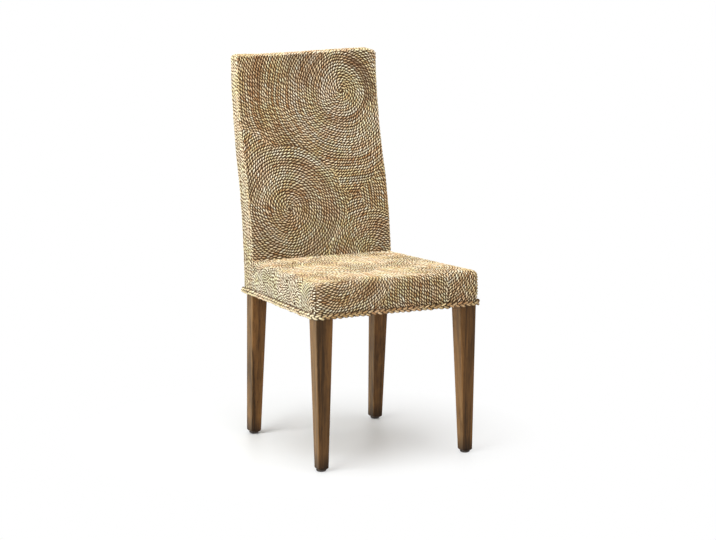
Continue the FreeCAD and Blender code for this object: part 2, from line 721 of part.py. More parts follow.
def hem_outline(out, bevel):
    """Outline from above of the seat and back together, set out by a distance.

    The front corners are cut off by the bevel.
    """
    near_half = seat_half(f"(-{out})", f"(-{out})")
    corners = [
        (f"({near_half} - {bevel})", f"(-{out})"),
        (near_half, f"({bevel} - {out})"),
        (seat_half("back_face", f"(-{out})"), "back_face"),
        (f"({BACK_WIDE} / 2 + {out})", f"({BACK_END} + {out})"),
    ]
    return mirrored(corners, "-1") + corners[::-1]


def make_hem_braid():
    """The braid sewn round the lower edge of the rope dress."""
    body = new_body("hem_braid")
    high = f"({HEM} + hem_tall)"
    outside = hem_outline("hem_proud", f"({CORNER_CUT} + hem_proud / 2)")
    ring = pad_between(body, "XY_Plane", HEM, high, outside)
    flats = number(HEM), number(high)
    dress_edges(
        body,
        "Chamfer",
        ring,
        "Size",
        "hem_bevel",
        lambda edge: any(lies_at(edge, "Z", place) for place in flats),
    )
    low, over = f"({HEM} - {OVERRUN})", f"({high} + {OVERRUN})"
    inside = hem_outline("fit_gap", CORNER_CUT)
    pocket_between(body, "XY_Plane", low, over, inside)


def make_glide(end, name, side):
    """A nail-on glide under one foot: a coned cap, flat where it meets the floor, and its nail."""
    x, y = front_foot_middle() if end == "front" else rear_foot_middle()
    body = new_body(f"glide_{end}_{name}", f"{side} * {x}", y)
    sketch = new_sketch(body, "XZ_Plane")
    profile = [
        ("0", "0"),
        ("glide_flat_radius", "0"),
        ("glide_radius", "glide_tall"),
        ("0", "glide_tall"),
    ]
    draw_outline(sketch, profile)
    turned = body.newObject("PartDesign::Revolution", f"{body.Name}_turned")
    turned.Profile = sketch
    turned.ReferenceAxis = (sketch, ["V_Axis"])
    turned.setExpression("Angle", "360")
    doc.recompute()
    nail = rectangle("(-nail_wide / 2)", "nail_wide / 2", "(-nail_wide / 2)", "nail_wide / 2")
    pad_between(body, "XY_Plane", "glide_tall", "(glide_tall + nail_long)", nail)


def check_and_write():
    """Checks every object and writes each piece to its own file."""
    doc.recompute()
    for item in doc.Objects:
        if {"Invalid", "Error"} & set(item.State):
            raise ValueError(f"{item.Name} failed: {item.State}")
    kinds = ("PartDesign::Body", "Part::Compound")
    pieces = [item for item in doc.Objects if item.TypeId in kinds]
    os.makedirs("parts", exist_ok=True)
    for piece in pieces:
        if piece.Shape.isNull() or not piece.Shape.isValid():
            raise ValueError(f"{piece.Label} has no valid shape")
        piece.Shape.exportStep(f"parts/{piece.Label}.step")
    print(f"{len(pieces)} pieces written")


def main():
    """Builds the frame, then the linings and the rope dress over it, then the feet."""
    for name, side in SIDES.items():
        make_front_leg(name, side)
        make_rear_leg(name, side)
        make_side_rail(name, side)
        for end in SCREW_PLACES:
            make_corner_block(end, name, side)
            make_glide(end, name, side)
    make_cross_rail("front_rail", SKIN, LEG_INNER)
    make_cross_rail("rear_rail", REAR_RAIL_FRONT, POST_INNER)
    make_seat_panel()
    make_seat_screws()
    for label in BACK_RAILS:
        make_back_rail(label)
    make_back_tenons()
    lining_inner = f"({SKIN} + lining_thick)"
    make_lining(
        "front_lining", ("front", SKIN), ("front", lining_inner), f"({PANEL_TOP} + fit_gap)"
    )
    make_lining("rear_lining", ("rear", lining_inner), ("rear", SKIN), RAIL_UNDER)
    make_seat_cover()
    make_back_cover()
    make_hem_braid()
    check_and_write()


main()
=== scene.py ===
import logging
import math
from dataclasses import dataclass, field
from enum import Enum

import bpy
import numpy as np
from mathutils import Matrix, Vector


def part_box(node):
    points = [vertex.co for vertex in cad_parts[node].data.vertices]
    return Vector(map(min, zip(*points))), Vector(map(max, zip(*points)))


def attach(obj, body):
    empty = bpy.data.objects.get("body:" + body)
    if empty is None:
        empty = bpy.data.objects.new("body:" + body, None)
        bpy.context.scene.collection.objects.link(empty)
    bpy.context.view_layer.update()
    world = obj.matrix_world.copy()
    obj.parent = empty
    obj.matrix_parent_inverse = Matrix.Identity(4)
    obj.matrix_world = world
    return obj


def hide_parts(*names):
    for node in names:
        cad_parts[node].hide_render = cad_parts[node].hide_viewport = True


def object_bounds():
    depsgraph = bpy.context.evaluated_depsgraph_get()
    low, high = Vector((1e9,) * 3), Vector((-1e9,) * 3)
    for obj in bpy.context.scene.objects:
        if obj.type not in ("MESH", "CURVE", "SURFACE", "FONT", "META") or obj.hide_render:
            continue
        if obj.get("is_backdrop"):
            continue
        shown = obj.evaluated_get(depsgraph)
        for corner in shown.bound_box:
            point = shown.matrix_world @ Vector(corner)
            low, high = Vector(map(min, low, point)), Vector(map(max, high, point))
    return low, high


Array = np.ndarray
Material = bpy.types.Material
Piece = bpy.types.Object
Socket = bpy.types.NodeSocket

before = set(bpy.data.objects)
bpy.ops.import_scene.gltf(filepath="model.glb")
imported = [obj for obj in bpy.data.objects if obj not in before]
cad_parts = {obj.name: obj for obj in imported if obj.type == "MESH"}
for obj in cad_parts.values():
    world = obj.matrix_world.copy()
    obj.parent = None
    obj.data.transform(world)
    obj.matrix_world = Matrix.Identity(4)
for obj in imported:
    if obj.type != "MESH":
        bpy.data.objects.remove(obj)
CAD_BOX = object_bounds()
LOG = logging.getLogger("rope_chair")
MM = 0.001
WHITE = (1.0, 1.0, 1.0, 1.0)
# How many random shades the turns of the strands share.
LOTS = 997

# Depths inside the classes start at the seat's front face, as in the frame's own drawing, and
# SEAT_FRONT moves them to the shared frame. Heights start at the floor.
SEAT_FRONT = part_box("seat_cover")[0][1]
SKIRT_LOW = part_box("seat_cover")[0][2]
SEAT_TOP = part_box("seat_cover")[1][2]
CHAIR_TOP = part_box("back_cover")[1][2]
SEAT_DEEP = 423 * MM
BACK_HALF = 213.5 * MM
# How far each foot's middle lies to the side and to the rear of the frame's origin, in mm.
FEET = {"front": (210.131, -249.659), "rear": (187.1, 200.059)}
# How deep the cloth's outer and inner faces lie under the rope's skin.
CLOTH_OUTER, CLOTH_INNER = 3.6 * MM, 5.3 * MM


class GrainWay(Enum):
    """The direction that a piece of wood was cut in, as stretches of the noise along X, Y, Z."""

    UPRIGHT = (1.0, 1.0, 0.045)
    ACROSS = (0.045, 1.0, 1.0)
    DEEP = (1.0, 0.045, 1.0)


class Graph:
    """Builds the nodes of one material in a few words."""

    def __init__(self, name: str) -> None:
        """Starts an empty material with an output and a main shader.

        Args:
            name: The material's name.
        """
        self.material = bpy.data.materials.new(name)
        self.material.use_nodes = True
        self.tree = self.material.node_tree
        self.tree.nodes.clear()
        self.output = self.tree.nodes.new("ShaderNodeOutputMaterial")
        self.shader = self.tree.nodes.new("ShaderNodeBsdfPrincipled")
        self.join(self.shader.outputs["BSDF"], self.output.inputs["Surface"])

    def join(self, source: Socket, target: Socket) -> None:
        """Links one socket to another."""
        self.tree.links.new(source, target)

    def feed(self, socket: Socket, value: object) -> None:
        """Gives a socket a link to another node's output, or a number or a colour."""
        if isinstance(value, Socket):
            self.join(value, socket)
        else:
            socket.default_value = value

    def node(self, kind: str, settings: dict, **inputs: object) -> bpy.types.Node:
        """Adds a node.

        Args:
            kind: The node's type, without its ShaderNode prefix.
            settings: Its own properties.
            **inputs: Its sockets by name, with underscores for spaces.

        Returns:
            The new node.
        """
        made = self.tree.nodes.new("ShaderNode" + kind)
        for name, value in settings.items():
            setattr(made, name, value)
        for name, value in inputs.items():
            self.feed(made.inputs[name.replace("_", " ")], value)
        return made

    def math(self, operation: str, first: object, second: object = 0.0) -> Socket:
        """A sum of two values.

        Args:
            operation: The name of the sum.
            first: The first socket or number.
            second: The second socket or number.

        Returns:
            The output of the sum.
        """
        made = self.tree.nodes.new("ShaderNodeMath")
        made.operation = operation
        self.feed(made.inputs[0], first)
        self.feed(made.inputs[1], second)
        return made.outputs[0]

    def spread(
        self, value: object, low: float, high: float, to_low: float = 0.0, to_high: float = 1.0
    ) -> Socket:
        """Maps a value from one range to another and keeps it inside.

        Args:
            value: The socket to map.
            low: Where its range starts.
            high: Where its range ends.
            to_low: Where the new range starts.
            to_high: Where the new range ends.

        Returns:
            The mapped value.
        """
        made = self.node("MapRange", {}, Value=value)
        made.inputs["From Min"].default_value = low
        made.inputs["From Max"].default_value = high
        made.inputs["To Min"].default_value = to_low
        made.inputs["To Max"].default_value = to_high
        return made.outputs["Result"]

    def blend(self, share: object, first: object, second: object, way: str = "MIX") -> Socket:
        """Mixes two colours.

        Args:
            share: How much of the second colour, from 0 to 1.
            first: The first colour.
            second: The second colour.
            way: The blend type.

        Returns:
            The mixed colour.
        """
        made = self.tree.nodes.new("ShaderNodeMix")
        made.data_type = "RGBA"
        made.blend_type = way
        self.feed(made.inputs["Factor"], share)
        self.feed(made.inputs[6], first)
        self.feed(made.inputs[7], second)
        return made.outputs[2]

    def noise(
        self, vector: object, scale: float, detail: float = 3.0, rough: float = 0.55
    ) -> Socket:
        """A cloudy value from 0 to 1.

        Args:
            vector: The coordinates.
            scale: How many clouds to the unit.
            detail: Finer layers of it.
            rough: How strong the finer layers are.

        Returns:
            The value.
        """
        made = self.node("TexNoise", {}, Vector=vector, Scale=scale, Detail=detail, Roughness=rough)
        return made.outputs["Fac"]

    def place(
        self,
        stretch: tuple[float, ...] = (1.0, 1.0, 1.0),
        shift: tuple[float, ...] = (0.0, 0.0, 0.0),
    ) -> Socket:
        """The piece's own coordinates in metres, stretched.

        Args:
            stretch: Factors along X, Y and Z.
            shift: What is added to them.

        Returns:
            The coordinates.
        """
        own = self.node("TexCoord", {}).outputs["Object"]
        return self.node("Mapping", {}, Vector=own, Scale=stretch, Location=shift).outputs["Vector"]

    def cover(
        self, colour: object, over: tuple, value: object, low: float, high: float, most: float = 1.0
    ) -> Socket:
        """Lays a colour over another as a value goes from one limit to the other.

        Args:
            colour: What is covered.
            over: The colour laid over it.
            value: The socket that decides.
            low: The value where nothing is covered.
            high: The value where the cover is fullest.
            most: The fullest cover, from 0 to 1.

        Returns:
            The mixed colour.
        """
        return self.blend(self.spread(value, low, high, 0.0, most), colour, over)

    def axis(self, vector: Socket, name: str) -> Socket:
        """One part of a vector: X, Y or Z."""
        return self.node("SeparateXYZ", {}, Vector=vector).outputs[name]

    def surface(self, output: str) -> Socket:
        """What the mesh says of the shaded place, such as its True Normal."""
        return self.node("NewGeometry", {}).outputs[output]

    def mark(self, name: str, output: str = "Fac") -> Socket:
        """A value that the mesh carries at each point."""
        return self.node("Attribute", {"attribute_name": name}).outputs[output]

    def stretched(self, vector: Socket, stretch: tuple[float, float, float]) -> Socket:
        """Coordinates with each part multiplied by a factor."""
        return self.node("Mapping", {}, Vector=vector, Scale=stretch).outputs["Vector"]

    def bump(self, height: object, strength: float, depth: float) -> None:
        """Roughens the surface by a height.

        Args:
            height: The height, from 0 to 1.
            strength: How strongly it shows.
            depth: The height's size in metres.
        """
        made = self.node("Bump", {}, Strength=strength, Distance=depth, Height=height)
        self.join(made.outputs["Normal"], self.shader.inputs["Normal"])

    def finish(self, colour: object, roughness: object) -> Material:
        """Sets colour and roughness and hands the material over."""
        self.feed(self.shader.inputs["Base Color"], colour)
        self.feed(self.shader.inputs["Roughness"], roughness)
        return self.material


def tint(red: float, green: float, blue: float) -> tuple[float, float, float, float]:
    """A colour from the values that a picture shows, from 0 to 255.

    Args:
        red: Red.
        green: Green.
        blue: Blue.

    Returns:
        The colour in linear light.
    """
    return tuple((part / 255) ** 2.2 for part in (red, green, blue)) + (1.0,)


@dataclass(frozen=True)
class RopeFinish:
    """Twisted dry grass: straw to tan, rusty or olive in places, with painted shade between the
    strands.
    """

    name: str = "sea_grass_rope"
    pale: tuple = tint(255, 248, 220)
    tan: tuple = tint(248, 220, 172)
    brown: tuple = tint(182, 138, 92)
    rust: tuple = tint(188, 132, 88)
    olive: tuple = tint(224, 215, 184)
    grey: tuple = tint(112, 106, 94)
    # Painted shade: the colour laid in the grooves between strands and where ropes meet.
    gap_shade: tuple = tint(80, 52, 27)
    straw_cast: tuple = tint(252, 254, 238)
    heather_cast: tuple = tint(255, 246, 246)
    rough: float = 0.62
    sheen: float = 0.25
    gloss: float = 0.2

    def build(self) -> Material:
        """Makes the material from the marks that the rope's mesh carries.

        Returns:
            The material.
        """
        graph = Graph(self.name)
        fibre = graph.mark("fibre", "Vector")
        tone, age, warm, groove_shade = (graph.mark(name) for name in ("tone", "age", "warm", "groove_shade"))
        threads = graph.noise(graph.stretched(fibre, (2.6, 55.0, 1.0)), 1.0, 4.0)
        hairs = graph.noise(graph.stretched(fibre, (9.0, 160.0, 1.0)), 1.0)
        share = graph.math("ADD", tone, graph.spread(threads, 0.3, 0.7, -0.16, 0.16))
        colour = graph.cover(self.brown, self.tan, share, 0.05, 0.5)
        colour = graph.cover(colour, self.pale, share, 0.5, 0.95)
        colour = graph.cover(colour, self.rust, warm, 0.55, 1.1, 0.45)
        colour = graph.cover(colour, self.olive, warm, 0.4, -0.1, 0.6)
        clouds = graph.noise(graph.place(), 19.0, 3.0, 0.6)
        for low, high, cast in ((0.5, 0.62, self.straw_cast), (0.48, 0.37, self.heather_cast)):
            colour = graph.blend(graph.spread(clouds, low, high), colour, cast, "MULTIPLY")
        colour = graph.blend(graph.math("MULTIPLY", age, 0.85), colour, self.grey)
        colour = graph.cover(colour, self.brown, hairs, 0.42, 0.3, 0.4)
        # Painted shade over the grooves and crevices that the mesh marks.
        colour = graph.cover(colour, self.gap_shade, groove_shade, 0.2, 0.7, 0.97)
        graph.bump(graph.math("ADD", threads, hairs), 0.55, 0.0006)
        graph.shader.inputs["Sheen Weight"].default_value = self.sheen
        graph.shader.inputs["Sheen Tint"].default_value = self.tan
        graph.shader.inputs["Specular IOR Level"].default_value = self.gloss
        rough = graph.spread(threads, 0.3, 0.7, self.rough - 0.12, self.rough + 0.2)
        return graph.finish(colour, rough)


BRAID_FINISH = RopeFinish(
    "straw_braid", tan=tint(228, 200, 156), brown=tint(170, 132, 90), gap_shade=tint(70, 48, 30)
)


@dataclass(frozen=True)
class WoodFinish:
    """Wood with long grain, pores and slow changes of tone, with painted light on faces toward the
    sides and painted shade towards the bottom when asked.
    """

    name: str
    light: tuple
    dark: tuple
    pores: tuple
    way: GrainWay
    rough: float
    streak: float = 0.6
    worn: float = 0.0
    # The height below which the wood is painted darker, as painted shade near the floor.
    foot: float = 0.0
    gloss: float = 0.4
    shift: tuple = (0.0, 0.0, 0.0)
    # How much painted light the faces toward the sides get.
    sides: float = 0.0
    side_light_tint: tuple = tint(148, 117, 78)

    def build(self) -> Material:
        """Makes the material from the piece's own coordinates.

        Returns:
            The material.
        """
        graph = Graph(self.name)
        along = graph.place(self.way.value, self.shift)
        bands = graph.noise(along, 22.0, 3.0, 0.5)
        streaks = graph.noise(along, 190.0, 5.0, 0.65)
        pores = graph.noise(along, 900.0, 2.0, 0.5)
        clouds = graph.noise(graph.place(), 7.0, 2.0, 0.5)
        fine = graph.spread(streaks, 0.35, 0.65, -self.streak / 2, self.streak / 2)
        share = graph.math("ADD", graph.spread(bands, 0.38, 0.62), fine)
        colour = graph.cover(self.dark, self.light, share, 0.0, 1.0)
        colour = graph.cover(colour, self.dark, clouds, 0.35, 0.7, 0.35)
        colour = graph.cover(colour, self.pores, pores, 0.4, 0.3, 0.7)
        if self.worn:
            edge = graph.spread(graph.surface("Pointiness"), 0.52, 0.6)
            rubbed = graph.math("MULTIPLY", edge, graph.spread(streaks, 0.4, 0.6))
            colour = graph.blend(graph.math("MULTIPLY", rubbed, self.worn), colour, self.light)
        # Painted light: faces that point to the sides are painted lighter, in streaks.
        if self.sides:
            sideways = graph.math("ABSOLUTE", graph.axis(graph.surface("True Normal"), "X"))
            flames = graph.spread(streaks, 0.4, 0.6, 0.2, 1.0)
            painted_side_light = graph.math("MULTIPLY", flames, graph.spread(sideways, 0.5, 0.9))
            colour = graph.blend(graph.math("MULTIPLY", painted_side_light, self.sides), colour, self.side_light_tint)
        # Painted shade: darker towards the bottom, near the floor.
        if self.foot:
            tall = graph.axis(graph.place(), "Z")
            colour = graph.cover(colour, self.pores, tall, self.foot, 0.2 * self.foot, 0.75)
        graph.shader.inputs["Specular IOR Level"].default_value = self.gloss
        ridges = graph.math("MULTIPLY", streaks, 0.6)
        graph.bump(graph.math("ADD", ridges, graph.spread(pores, 0.3, 0.42)), 0.35, 0.0004)
        rough = graph.spread(streaks, 0.3, 0.7, self.rough - 0.08, self.rough + 0.12)
        return graph.finish(colour, rough)


@dataclass(frozen=True)
class PlyFinish:
    """Birch plywood: a pale face veneer, with its thin layers showing on the edges."""

    name: str = "birch_ply"
    face: tuple = tint(214, 186, 140)
    line: tuple = tint(150, 112, 70)

    def build(self) -> Material:
        """Makes the material.

        Returns:
            The material.
        """
        graph = Graph(self.name)
        grain = graph.noise(graph.place(GrainWay.ACROSS.value), 120.0, 5.0, 0.6)
        flecks = graph.noise(graph.place(GrainWay.ACROSS.value), 700.0, 2.0)
        layers = graph.node("TexWave", {"bands_direction": "Z"}, Scale=210.0, Distortion=0.6)
        graph.join(graph.place(), layers.inputs["Vector"])
        upright = graph.axis(graph.surface("True Normal"), "Z")
        on_edge = graph.spread(graph.math("ABSOLUTE", upright), 0.6, 0.3)
        colour = graph.cover(self.face, self.line, grain, 0.35, 0.68)
        colour = graph.cover(colour, self.line, flecks, 0.36, 0.28, 0.5)
        stripes = graph.math("MULTIPLY", on_edge, graph.spread(layers.outputs["Fac"], 0.4, 0.7))
        colour = graph.blend(graph.math("MULTIPLY", stripes, 0.6), colour, self.line)
        graph.bump(grain, 0.25, 0.0004)
        return graph.finish(colour, graph.spread(grain, 0.3, 0.7, 0.55, 0.75))


@dataclass(frozen=True)
class MetalFinish:
    """Zinc-plated steel with fine scratches and dull spots."""

    name: str = "plated_steel"
    bright: tuple = tint(196, 194, 186)
    dull: tuple = tint(128, 122, 108)

    def build(self) -> Material:
        """Makes the material.

        Returns:
            The material.
        """
        graph = Graph(self.name)
        spots = graph.noise(graph.place(), 260.0, 4.0)
        scratches = graph.noise(graph.place((1.0, 0.1, 1.0)), 2600.0, 2.0)
        graph.shader.inputs["Metallic"].default_value = 1.0
        graph.bump(scratches, 0.2, 0.0001)
        colour = graph.cover(self.bright, self.dull, spots, 0.45, 0.7)
        return graph.finish(colour, graph.spread(scratches, 0.3, 0.7, 0.28, 0.5))


@dataclass(frozen=True)
class GlideFinish:
    """Dark moulded nylon, scuffed where it meets the floor."""

    name: str = "dark_nylon"
    deep: tuple = tint(52, 44, 38)
    scuffed: tuple = tint(104, 94, 84)

    def build(self) -> Material:
        """Makes the material.

        Returns:
            The material.
        """
        graph = Graph(self.name)
        grit = graph.noise(graph.place(), 900.0, 4.0, 0.6)
        low = graph.spread(graph.axis(graph.place(), "Z"), 0.003, 0.0)
        scuff = graph.math("MULTIPLY", low, graph.spread(grit, 0.42, 0.6))
        graph.bump(grit, 0.3, 0.0002)
        colour = graph.blend(scuff, self.deep, self.scuffed)
        return graph.finish(colour, graph.spread(grit, 0.3, 0.7, 0.38, 0.62))


@dataclass(frozen=True)
class SackingFinish:
    """The brown cloth that the rope is sewn to, a plain weave of coarse yarn, kept dark as painted
    shade where it shows between the ropes.
    """

    name: str = "sacking_gap_shade"
    yarn: tuple = tint(112, 82, 50)
    gap_shade: tuple = tint(48, 32, 18)
    yarns: float = 1980.0

    def build(self) -> Material:
        """Makes the material.

        Returns:
            The material.
        """
        graph = Graph(self.name)
        spots = graph.place()
        side = graph.math("ADD", graph.axis(spots, "X"), graph.axis(spots, "Y"))
        warp = graph.math("SINE", graph.math("MULTIPLY", side, self.yarns))
        weft = graph.math("SINE", graph.math("MULTIPLY", graph.axis(spots, "Z"), self.yarns))
        cloth = graph.math("MULTIPLY", warp, weft)
        slubs = graph.noise(spots, 420.0, 3.0)
        woven = graph.spread(cloth, -1.0, 1.0, 0.0, 0.6)
        shade = graph.math("ADD", woven, graph.math("MULTIPLY", slubs, 0.5))
        graph.bump(cloth, 0.3, 0.0004)
        colour = graph.blend(shade, self.gap_shade, self.yarn)
        return graph.finish(colour, graph.spread(slubs, 0.3, 0.7, 0.8, 0.95))


@dataclass(frozen=True)
class FloorFinish:
    """A white studio floor that keeps the shadow under the chair and is plain white far from it."""

    name: str = "studio_floor"
    shade: tuple = (0.82, 0.82, 0.81, 1.0)
    middle: tuple = (-0.07, 0.12, 0.0)
    near: float = 0.2
    far: float = 0.64

    def build(self) -> Material:
        """Makes the material.

        Returns:
            The material.
        """
        graph = Graph(self.name)
        from_middle = graph.place((1.0, 1.0, 0.0), tuple(-value for value in self.middle))
        away = graph.node("VectorMath", {"operation": "LENGTH"})
        graph.join(from_middle, away.inputs[0])
        grain = graph.noise(graph.place(), 300.0)
        graph.bump(grain, 0.05, 0.0002)
        graph.shader.inputs["Specular IOR Level"].default_value = 0.25
        graph.finish(self.shade, 0.45)
        path = graph.node("LightPath", {})
        seen = graph.math("MAXIMUM", path.outputs["Is Camera Ray"], path.outputs["Is Glossy Ray"])
        seen = graph.math("MAXIMUM", seen, path.outputs["Is Transmission Ray"])
        share = graph.spread(away.outputs["Value"], self.near, self.far)
        glow = graph.node("Emission", {}, Color=WHITE, Strength=1.0)
        mixed = graph.node("MixShader", {}, Fac=graph.math("MULTIPLY", seen, share))
        graph.join(graph.shader.outputs["BSDF"], mixed.inputs[1])
        graph.join(glow.outputs["Emission"], mixed.inputs[2])
        graph.join(mixed.outputs["Shader"], graph.output.inputs["Surface"])
        return graph.material


def unit(vectors: Array) -> Array:
    """Vectors of length one, the same way as the given ones."""
    return vectors / np.maximum(np.linalg.norm(vectors, axis=-1, keepdims=True), 1e-12)


def smooth(share: Array) -> Array:
    """An easy rise from 0 to 1 as the share goes from 0 to 1."""
    share = np.clip(share, 0, 1)
    return share * share * (3 - 2 * share)


def wander(places: Array, reach: float, rng: np.random.Generator) -> Array:
    """A value that drifts slowly along a rope.

    Args:
        places: Distances along the rope, rising.
        reach: How far it is from one turn of the value to the next.
        rng: The source of the values.

    Returns:
        A value from -1 to 1 for each place.
    """
    knots = np.arange(places[0] - reach, places[-1] + 2 * reach, reach)
    return np.interp(places, knots, rng.uniform(-1, 1, len(knots)))


def twist_slip(along: Array, rng: np.random.Generator) -> Array:
    """How far a hand-laid rope's twist is ahead or behind, in radians along it."""
    return 3.4 * wander(along, 0.055, rng) + 1.5 * wander(along, 0.02, rng)


def greyed(along: Array, rng: np.random.Generator) -> Array:
    """How grey the weather has made a rope along its line, mostly not at all."""
    return np.clip(wander(along, 0.05, rng) - 0.62, 0, 0.3)


def key_lamp_facing(facing: Array) -> Array:
    """How squarely surfaces face left, toward the key lamp, from 0 to 1; it sets where light is
    painted on the rope.
    """
    return np.clip(-facing[:, 0], 0, 1)


@dataclass
class Run:
    """One stretch of rope: its line, the way its surface faces, and its shades."""

    line: Array
    facing: Array
    along: Array
    tone: Array
    age: Array
    warm: Array
    slip: Array
    # Painted shade along the line, where a strand dives under another.
    dive_shade: Array | float = 0.0


@dataclass
class MeshParts:
    """Points, faces and marks of a mesh while it is put together."""

    points: list = field(default_factory=list)
    faces: list = field(default_factory=list)
    marks: dict = field(default_factory=dict)
    count: int = 0

    def add(self, points: Array, faces: Array, **marks: Array) -> None:
        """Adds a patch.

        Args:
            points: Its points.
            faces: Its four-sided faces, as places in points.
            **marks: Values for each point, by name.
        """
        self.points.append(points)
        self.faces.append(faces + self.count)
        for name, values in marks.items():
            self.marks.setdefault(name, []).append(values)
        self.count += len(points)

    def build(self, name: str, material: Material) -> Piece:
        """Makes the object.

        Args:
            name: The piece's name.
            material: Its finish.

        Returns:
            The object.
        """
        points = np.concatenate(self.points).astype(np.float32)
        faces = np.concatenate(self.faces).astype(np.int32)
        mesh = bpy.data.meshes.new(name)
        mesh.vertices.add(len(points))
        mesh.vertices.foreach_set("co", points.ravel())
        mesh.loops.add(faces.size)
        mesh.loops.foreach_set("vertex_index", faces.ravel())
        mesh.polygons.add(len(faces))
        mesh.polygons.foreach_set("loop_start", np.arange(0, faces.size, 4, dtype=np.int32))
        mesh.polygons.foreach_set("use_smooth", np.ones(len(faces), dtype=bool))
        for mark, values in self.marks.items():
            stacked = np.concatenate(values).astype(np.float32)
            kind = "FLOAT_VECTOR" if stacked.ndim == 2 else "FLOAT"
            store = mesh.attributes.new(mark, kind, "POINT")
            store.data.foreach_set("vector" if stacked.ndim == 2 else "value", stacked.ravel())
        mesh.update(calc_edges=True)
        mesh.validate()
        mesh.materials.append(material)
        piece = bpy.data.objects.new(name, mesh)
        bpy.context.scene.collection.objects.link(piece)
        return piece


class Dress:
    """Part of the chair's dress, put together point by point."""

    def fill(self, parts: MeshParts) -> None:
        """Adds the whole part to a mesh.

        Args:
            parts: The empty mesh.
        """
        raise NotImplementedError

    def build(self, name: str, material: Material) -> Piece:
        """Makes the piece.

        Args:
            name: Its name.
            material: Its finish.

        Returns:
            The object.
        """
        parts = MeshParts()
        self.fill(parts)
        LOG.info("%s: %d stretches, %d points", name, len(parts.points), parts.count)
        return parts.build(name, material)


def grid_faces(columns: int, rows: int) -> Array:
    """The faces of a grid of points that is laid out column by column.

    Args:
        columns: How many columns of points it has.
        rows: How many points there are in each.

    Returns:
        Four places for each face.
    """
    first = np.arange((columns - 1) * rows).reshape(columns - 1, rows)[:, :-1].ravel()
    return np.stack([first, first + rows, first + rows + 1, first + 1], -1)


@dataclass
class TwistedRope:
    """Strands laid round each other, pressed a little flat, as one long ribbed tube.

    A tube that isn't closed ends a little under the rope's widest place, by the angle under,
    where the cloth hides it. The strands' turns differ in shade by patchy and in height by
    uneven, and the two strands differ from each other by unlike.
    """

    half_wide: float = 3.75 * MM
    half_tall: float = 3.1 * MM
    lay: float = 18 * MM
    strands: int = 2
    step: float = 2.0 * MM
    strand_share: float = 0.47
    sides: int = 9
    under: float = math.radians(28)
    patchy: float = 0.13
    uneven: float = 0.05
    unlike: float = 0.1
    closed: bool = False

    def section(self, angles: Array) -> Array:
        """How far the rope's surface is from its middle, as a share, at angles from a strand.

        Args:
            angles: Angles round the rope, from the middle of a strand.

        Returns:
            Shares, 1 on a strand's crown.
        """
        apart = self.strand_share
        period = 2 * math.pi / self.strands
        off = (angles + period / 2) % period - period / 2
        return apart * np.cos(off) + np.sqrt((1 - apart) ** 2 - (apart * np.sin(off)) ** 2)

    def lay_run(self, parts: MeshParts, run: Run, seed: float) -> None:
        """Adds one stretch of rope to a mesh.

        Args:
            parts: The mesh.
            run: The stretch.
            seed: Sets its fibres apart from those of other stretches.
        """
        count = len(run.line)
        way = unit(np.gradient(run.line, axis=0))
        across = unit(np.cross(way, run.facing))
        outward = np.cross(across, way)
        if self.closed:
            round_it = np.linspace(0, 2 * math.pi, self.sides + 1)[:-1]
        else:
            round_it = np.linspace(-self.under, math.pi + self.under, self.sides)
        turned = round_it[None, :] - 2 * math.pi * run.along[:, None] / self.lay - run.slip[:, None]
        strand = np.rint(turned * self.strands / (2 * math.pi)).astype(int)
        lots = np.random.default_rng(int(seed * 10)).normal(0, 1, (3, LOTS))
        odd = strand % 2 * 2 - 1
        fatter = 1 + self.uneven * lots[2][strand % LOTS] + 0.2 * self.unlike * odd
        share = self.section(turned) * fatter
        ends = np.minimum(np.arange(count), np.arange(count)[::-1])
        share *= np.interp(ends, [0, 1, 2], [0.45, 0.85, 1.0])[:, None]
        wide = (share * np.cos(round_it) * self.half_wide)[..., None]
        tall = (share * np.sin(round_it) * self.half_tall)[..., None]
        points = run.line[:, None] + across[:, None] * wide + outward[:, None] * tall
        sides = len(round_it)
        last = sides if self.closed else sides - 1
        rows, columns = np.meshgrid(np.arange(count - 1), np.arange(last), indexing="ij")
        following = (columns + 1) % sides
        corners = (
            rows * sides + columns,
            (rows + 1) * sides + columns,
            (rows + 1) * sides + following,
            rows * sides + following,
        )
        faces = np.stack(corners, -1).reshape(-1, 4)
        long = np.broadcast_to(run.along[:, None], turned.shape)
        fibre = np.stack([turned, long, np.full(turned.shape, seed)], -1).reshape(-1, 3)
        tone = run.tone[:, None] + self.patchy * lots[0][strand % LOTS] + self.unlike * odd
        warm = run.warm[:, None] + 0.12 * lots[1][strand % LOTS]
        # Painted shade: this mark is highest in the grooves between strands, on the tube's sides
        # where ropes meet, and where a strand dives under.
        ribs = min(self.strand_share / 0.45, 1) * np.sin(turned * self.strands / 2) ** 2
        crevice_shade = np.maximum(0.9 * ribs, np.abs(np.cos(round_it)) ** 2.4)
        crevice_shade = np.maximum(crevice_shade, np.reshape(run.dive_shade, (-1, 1)))
        age = np.broadcast_to(run.age[:, None], tone.shape)
        marks = {"groove_shade": crevice_shade, "tone": tone, "warm": warm, "age": age}
        flat = {name: mark.ravel() for name, mark in marks.items()}
        parts.add(points.reshape(-1, 3), faces, fibre=fibre, **flat)


@dataclass(frozen=True)
class Band:
    """Rings of a coil that differ in shade, between two reaches and two headings in degrees."""

    near: float
    far: float
    first: float = -200
    last: float = 200
    darker: float = 0.0
    greyer: float = 0.0
    soft_reach: float = 4.0
    soft_heading: float = 14.0

    def share(self, away: Array, heading: Array) -> Array:
        """How far places are in the band, from 0 to 1.

        Args:
            away: Distances from the coil's middle, in millimetres.
            heading: Headings from it, in degrees.

        Returns:
            One share for each place.
        """
        middle, half = (self.first + self.last) / 2, (self.last - self.first) / 2
        off = np.abs((heading - middle + 180) % 360 - 180)
        inner = np.clip((away - self.near) / self.soft_reach, 0, 1)
        outer = np.clip((self.far - away) / self.soft_reach, 0, 1)
        return inner * outer * np.clip((half - off) / self.soft_heading, 0, 1)


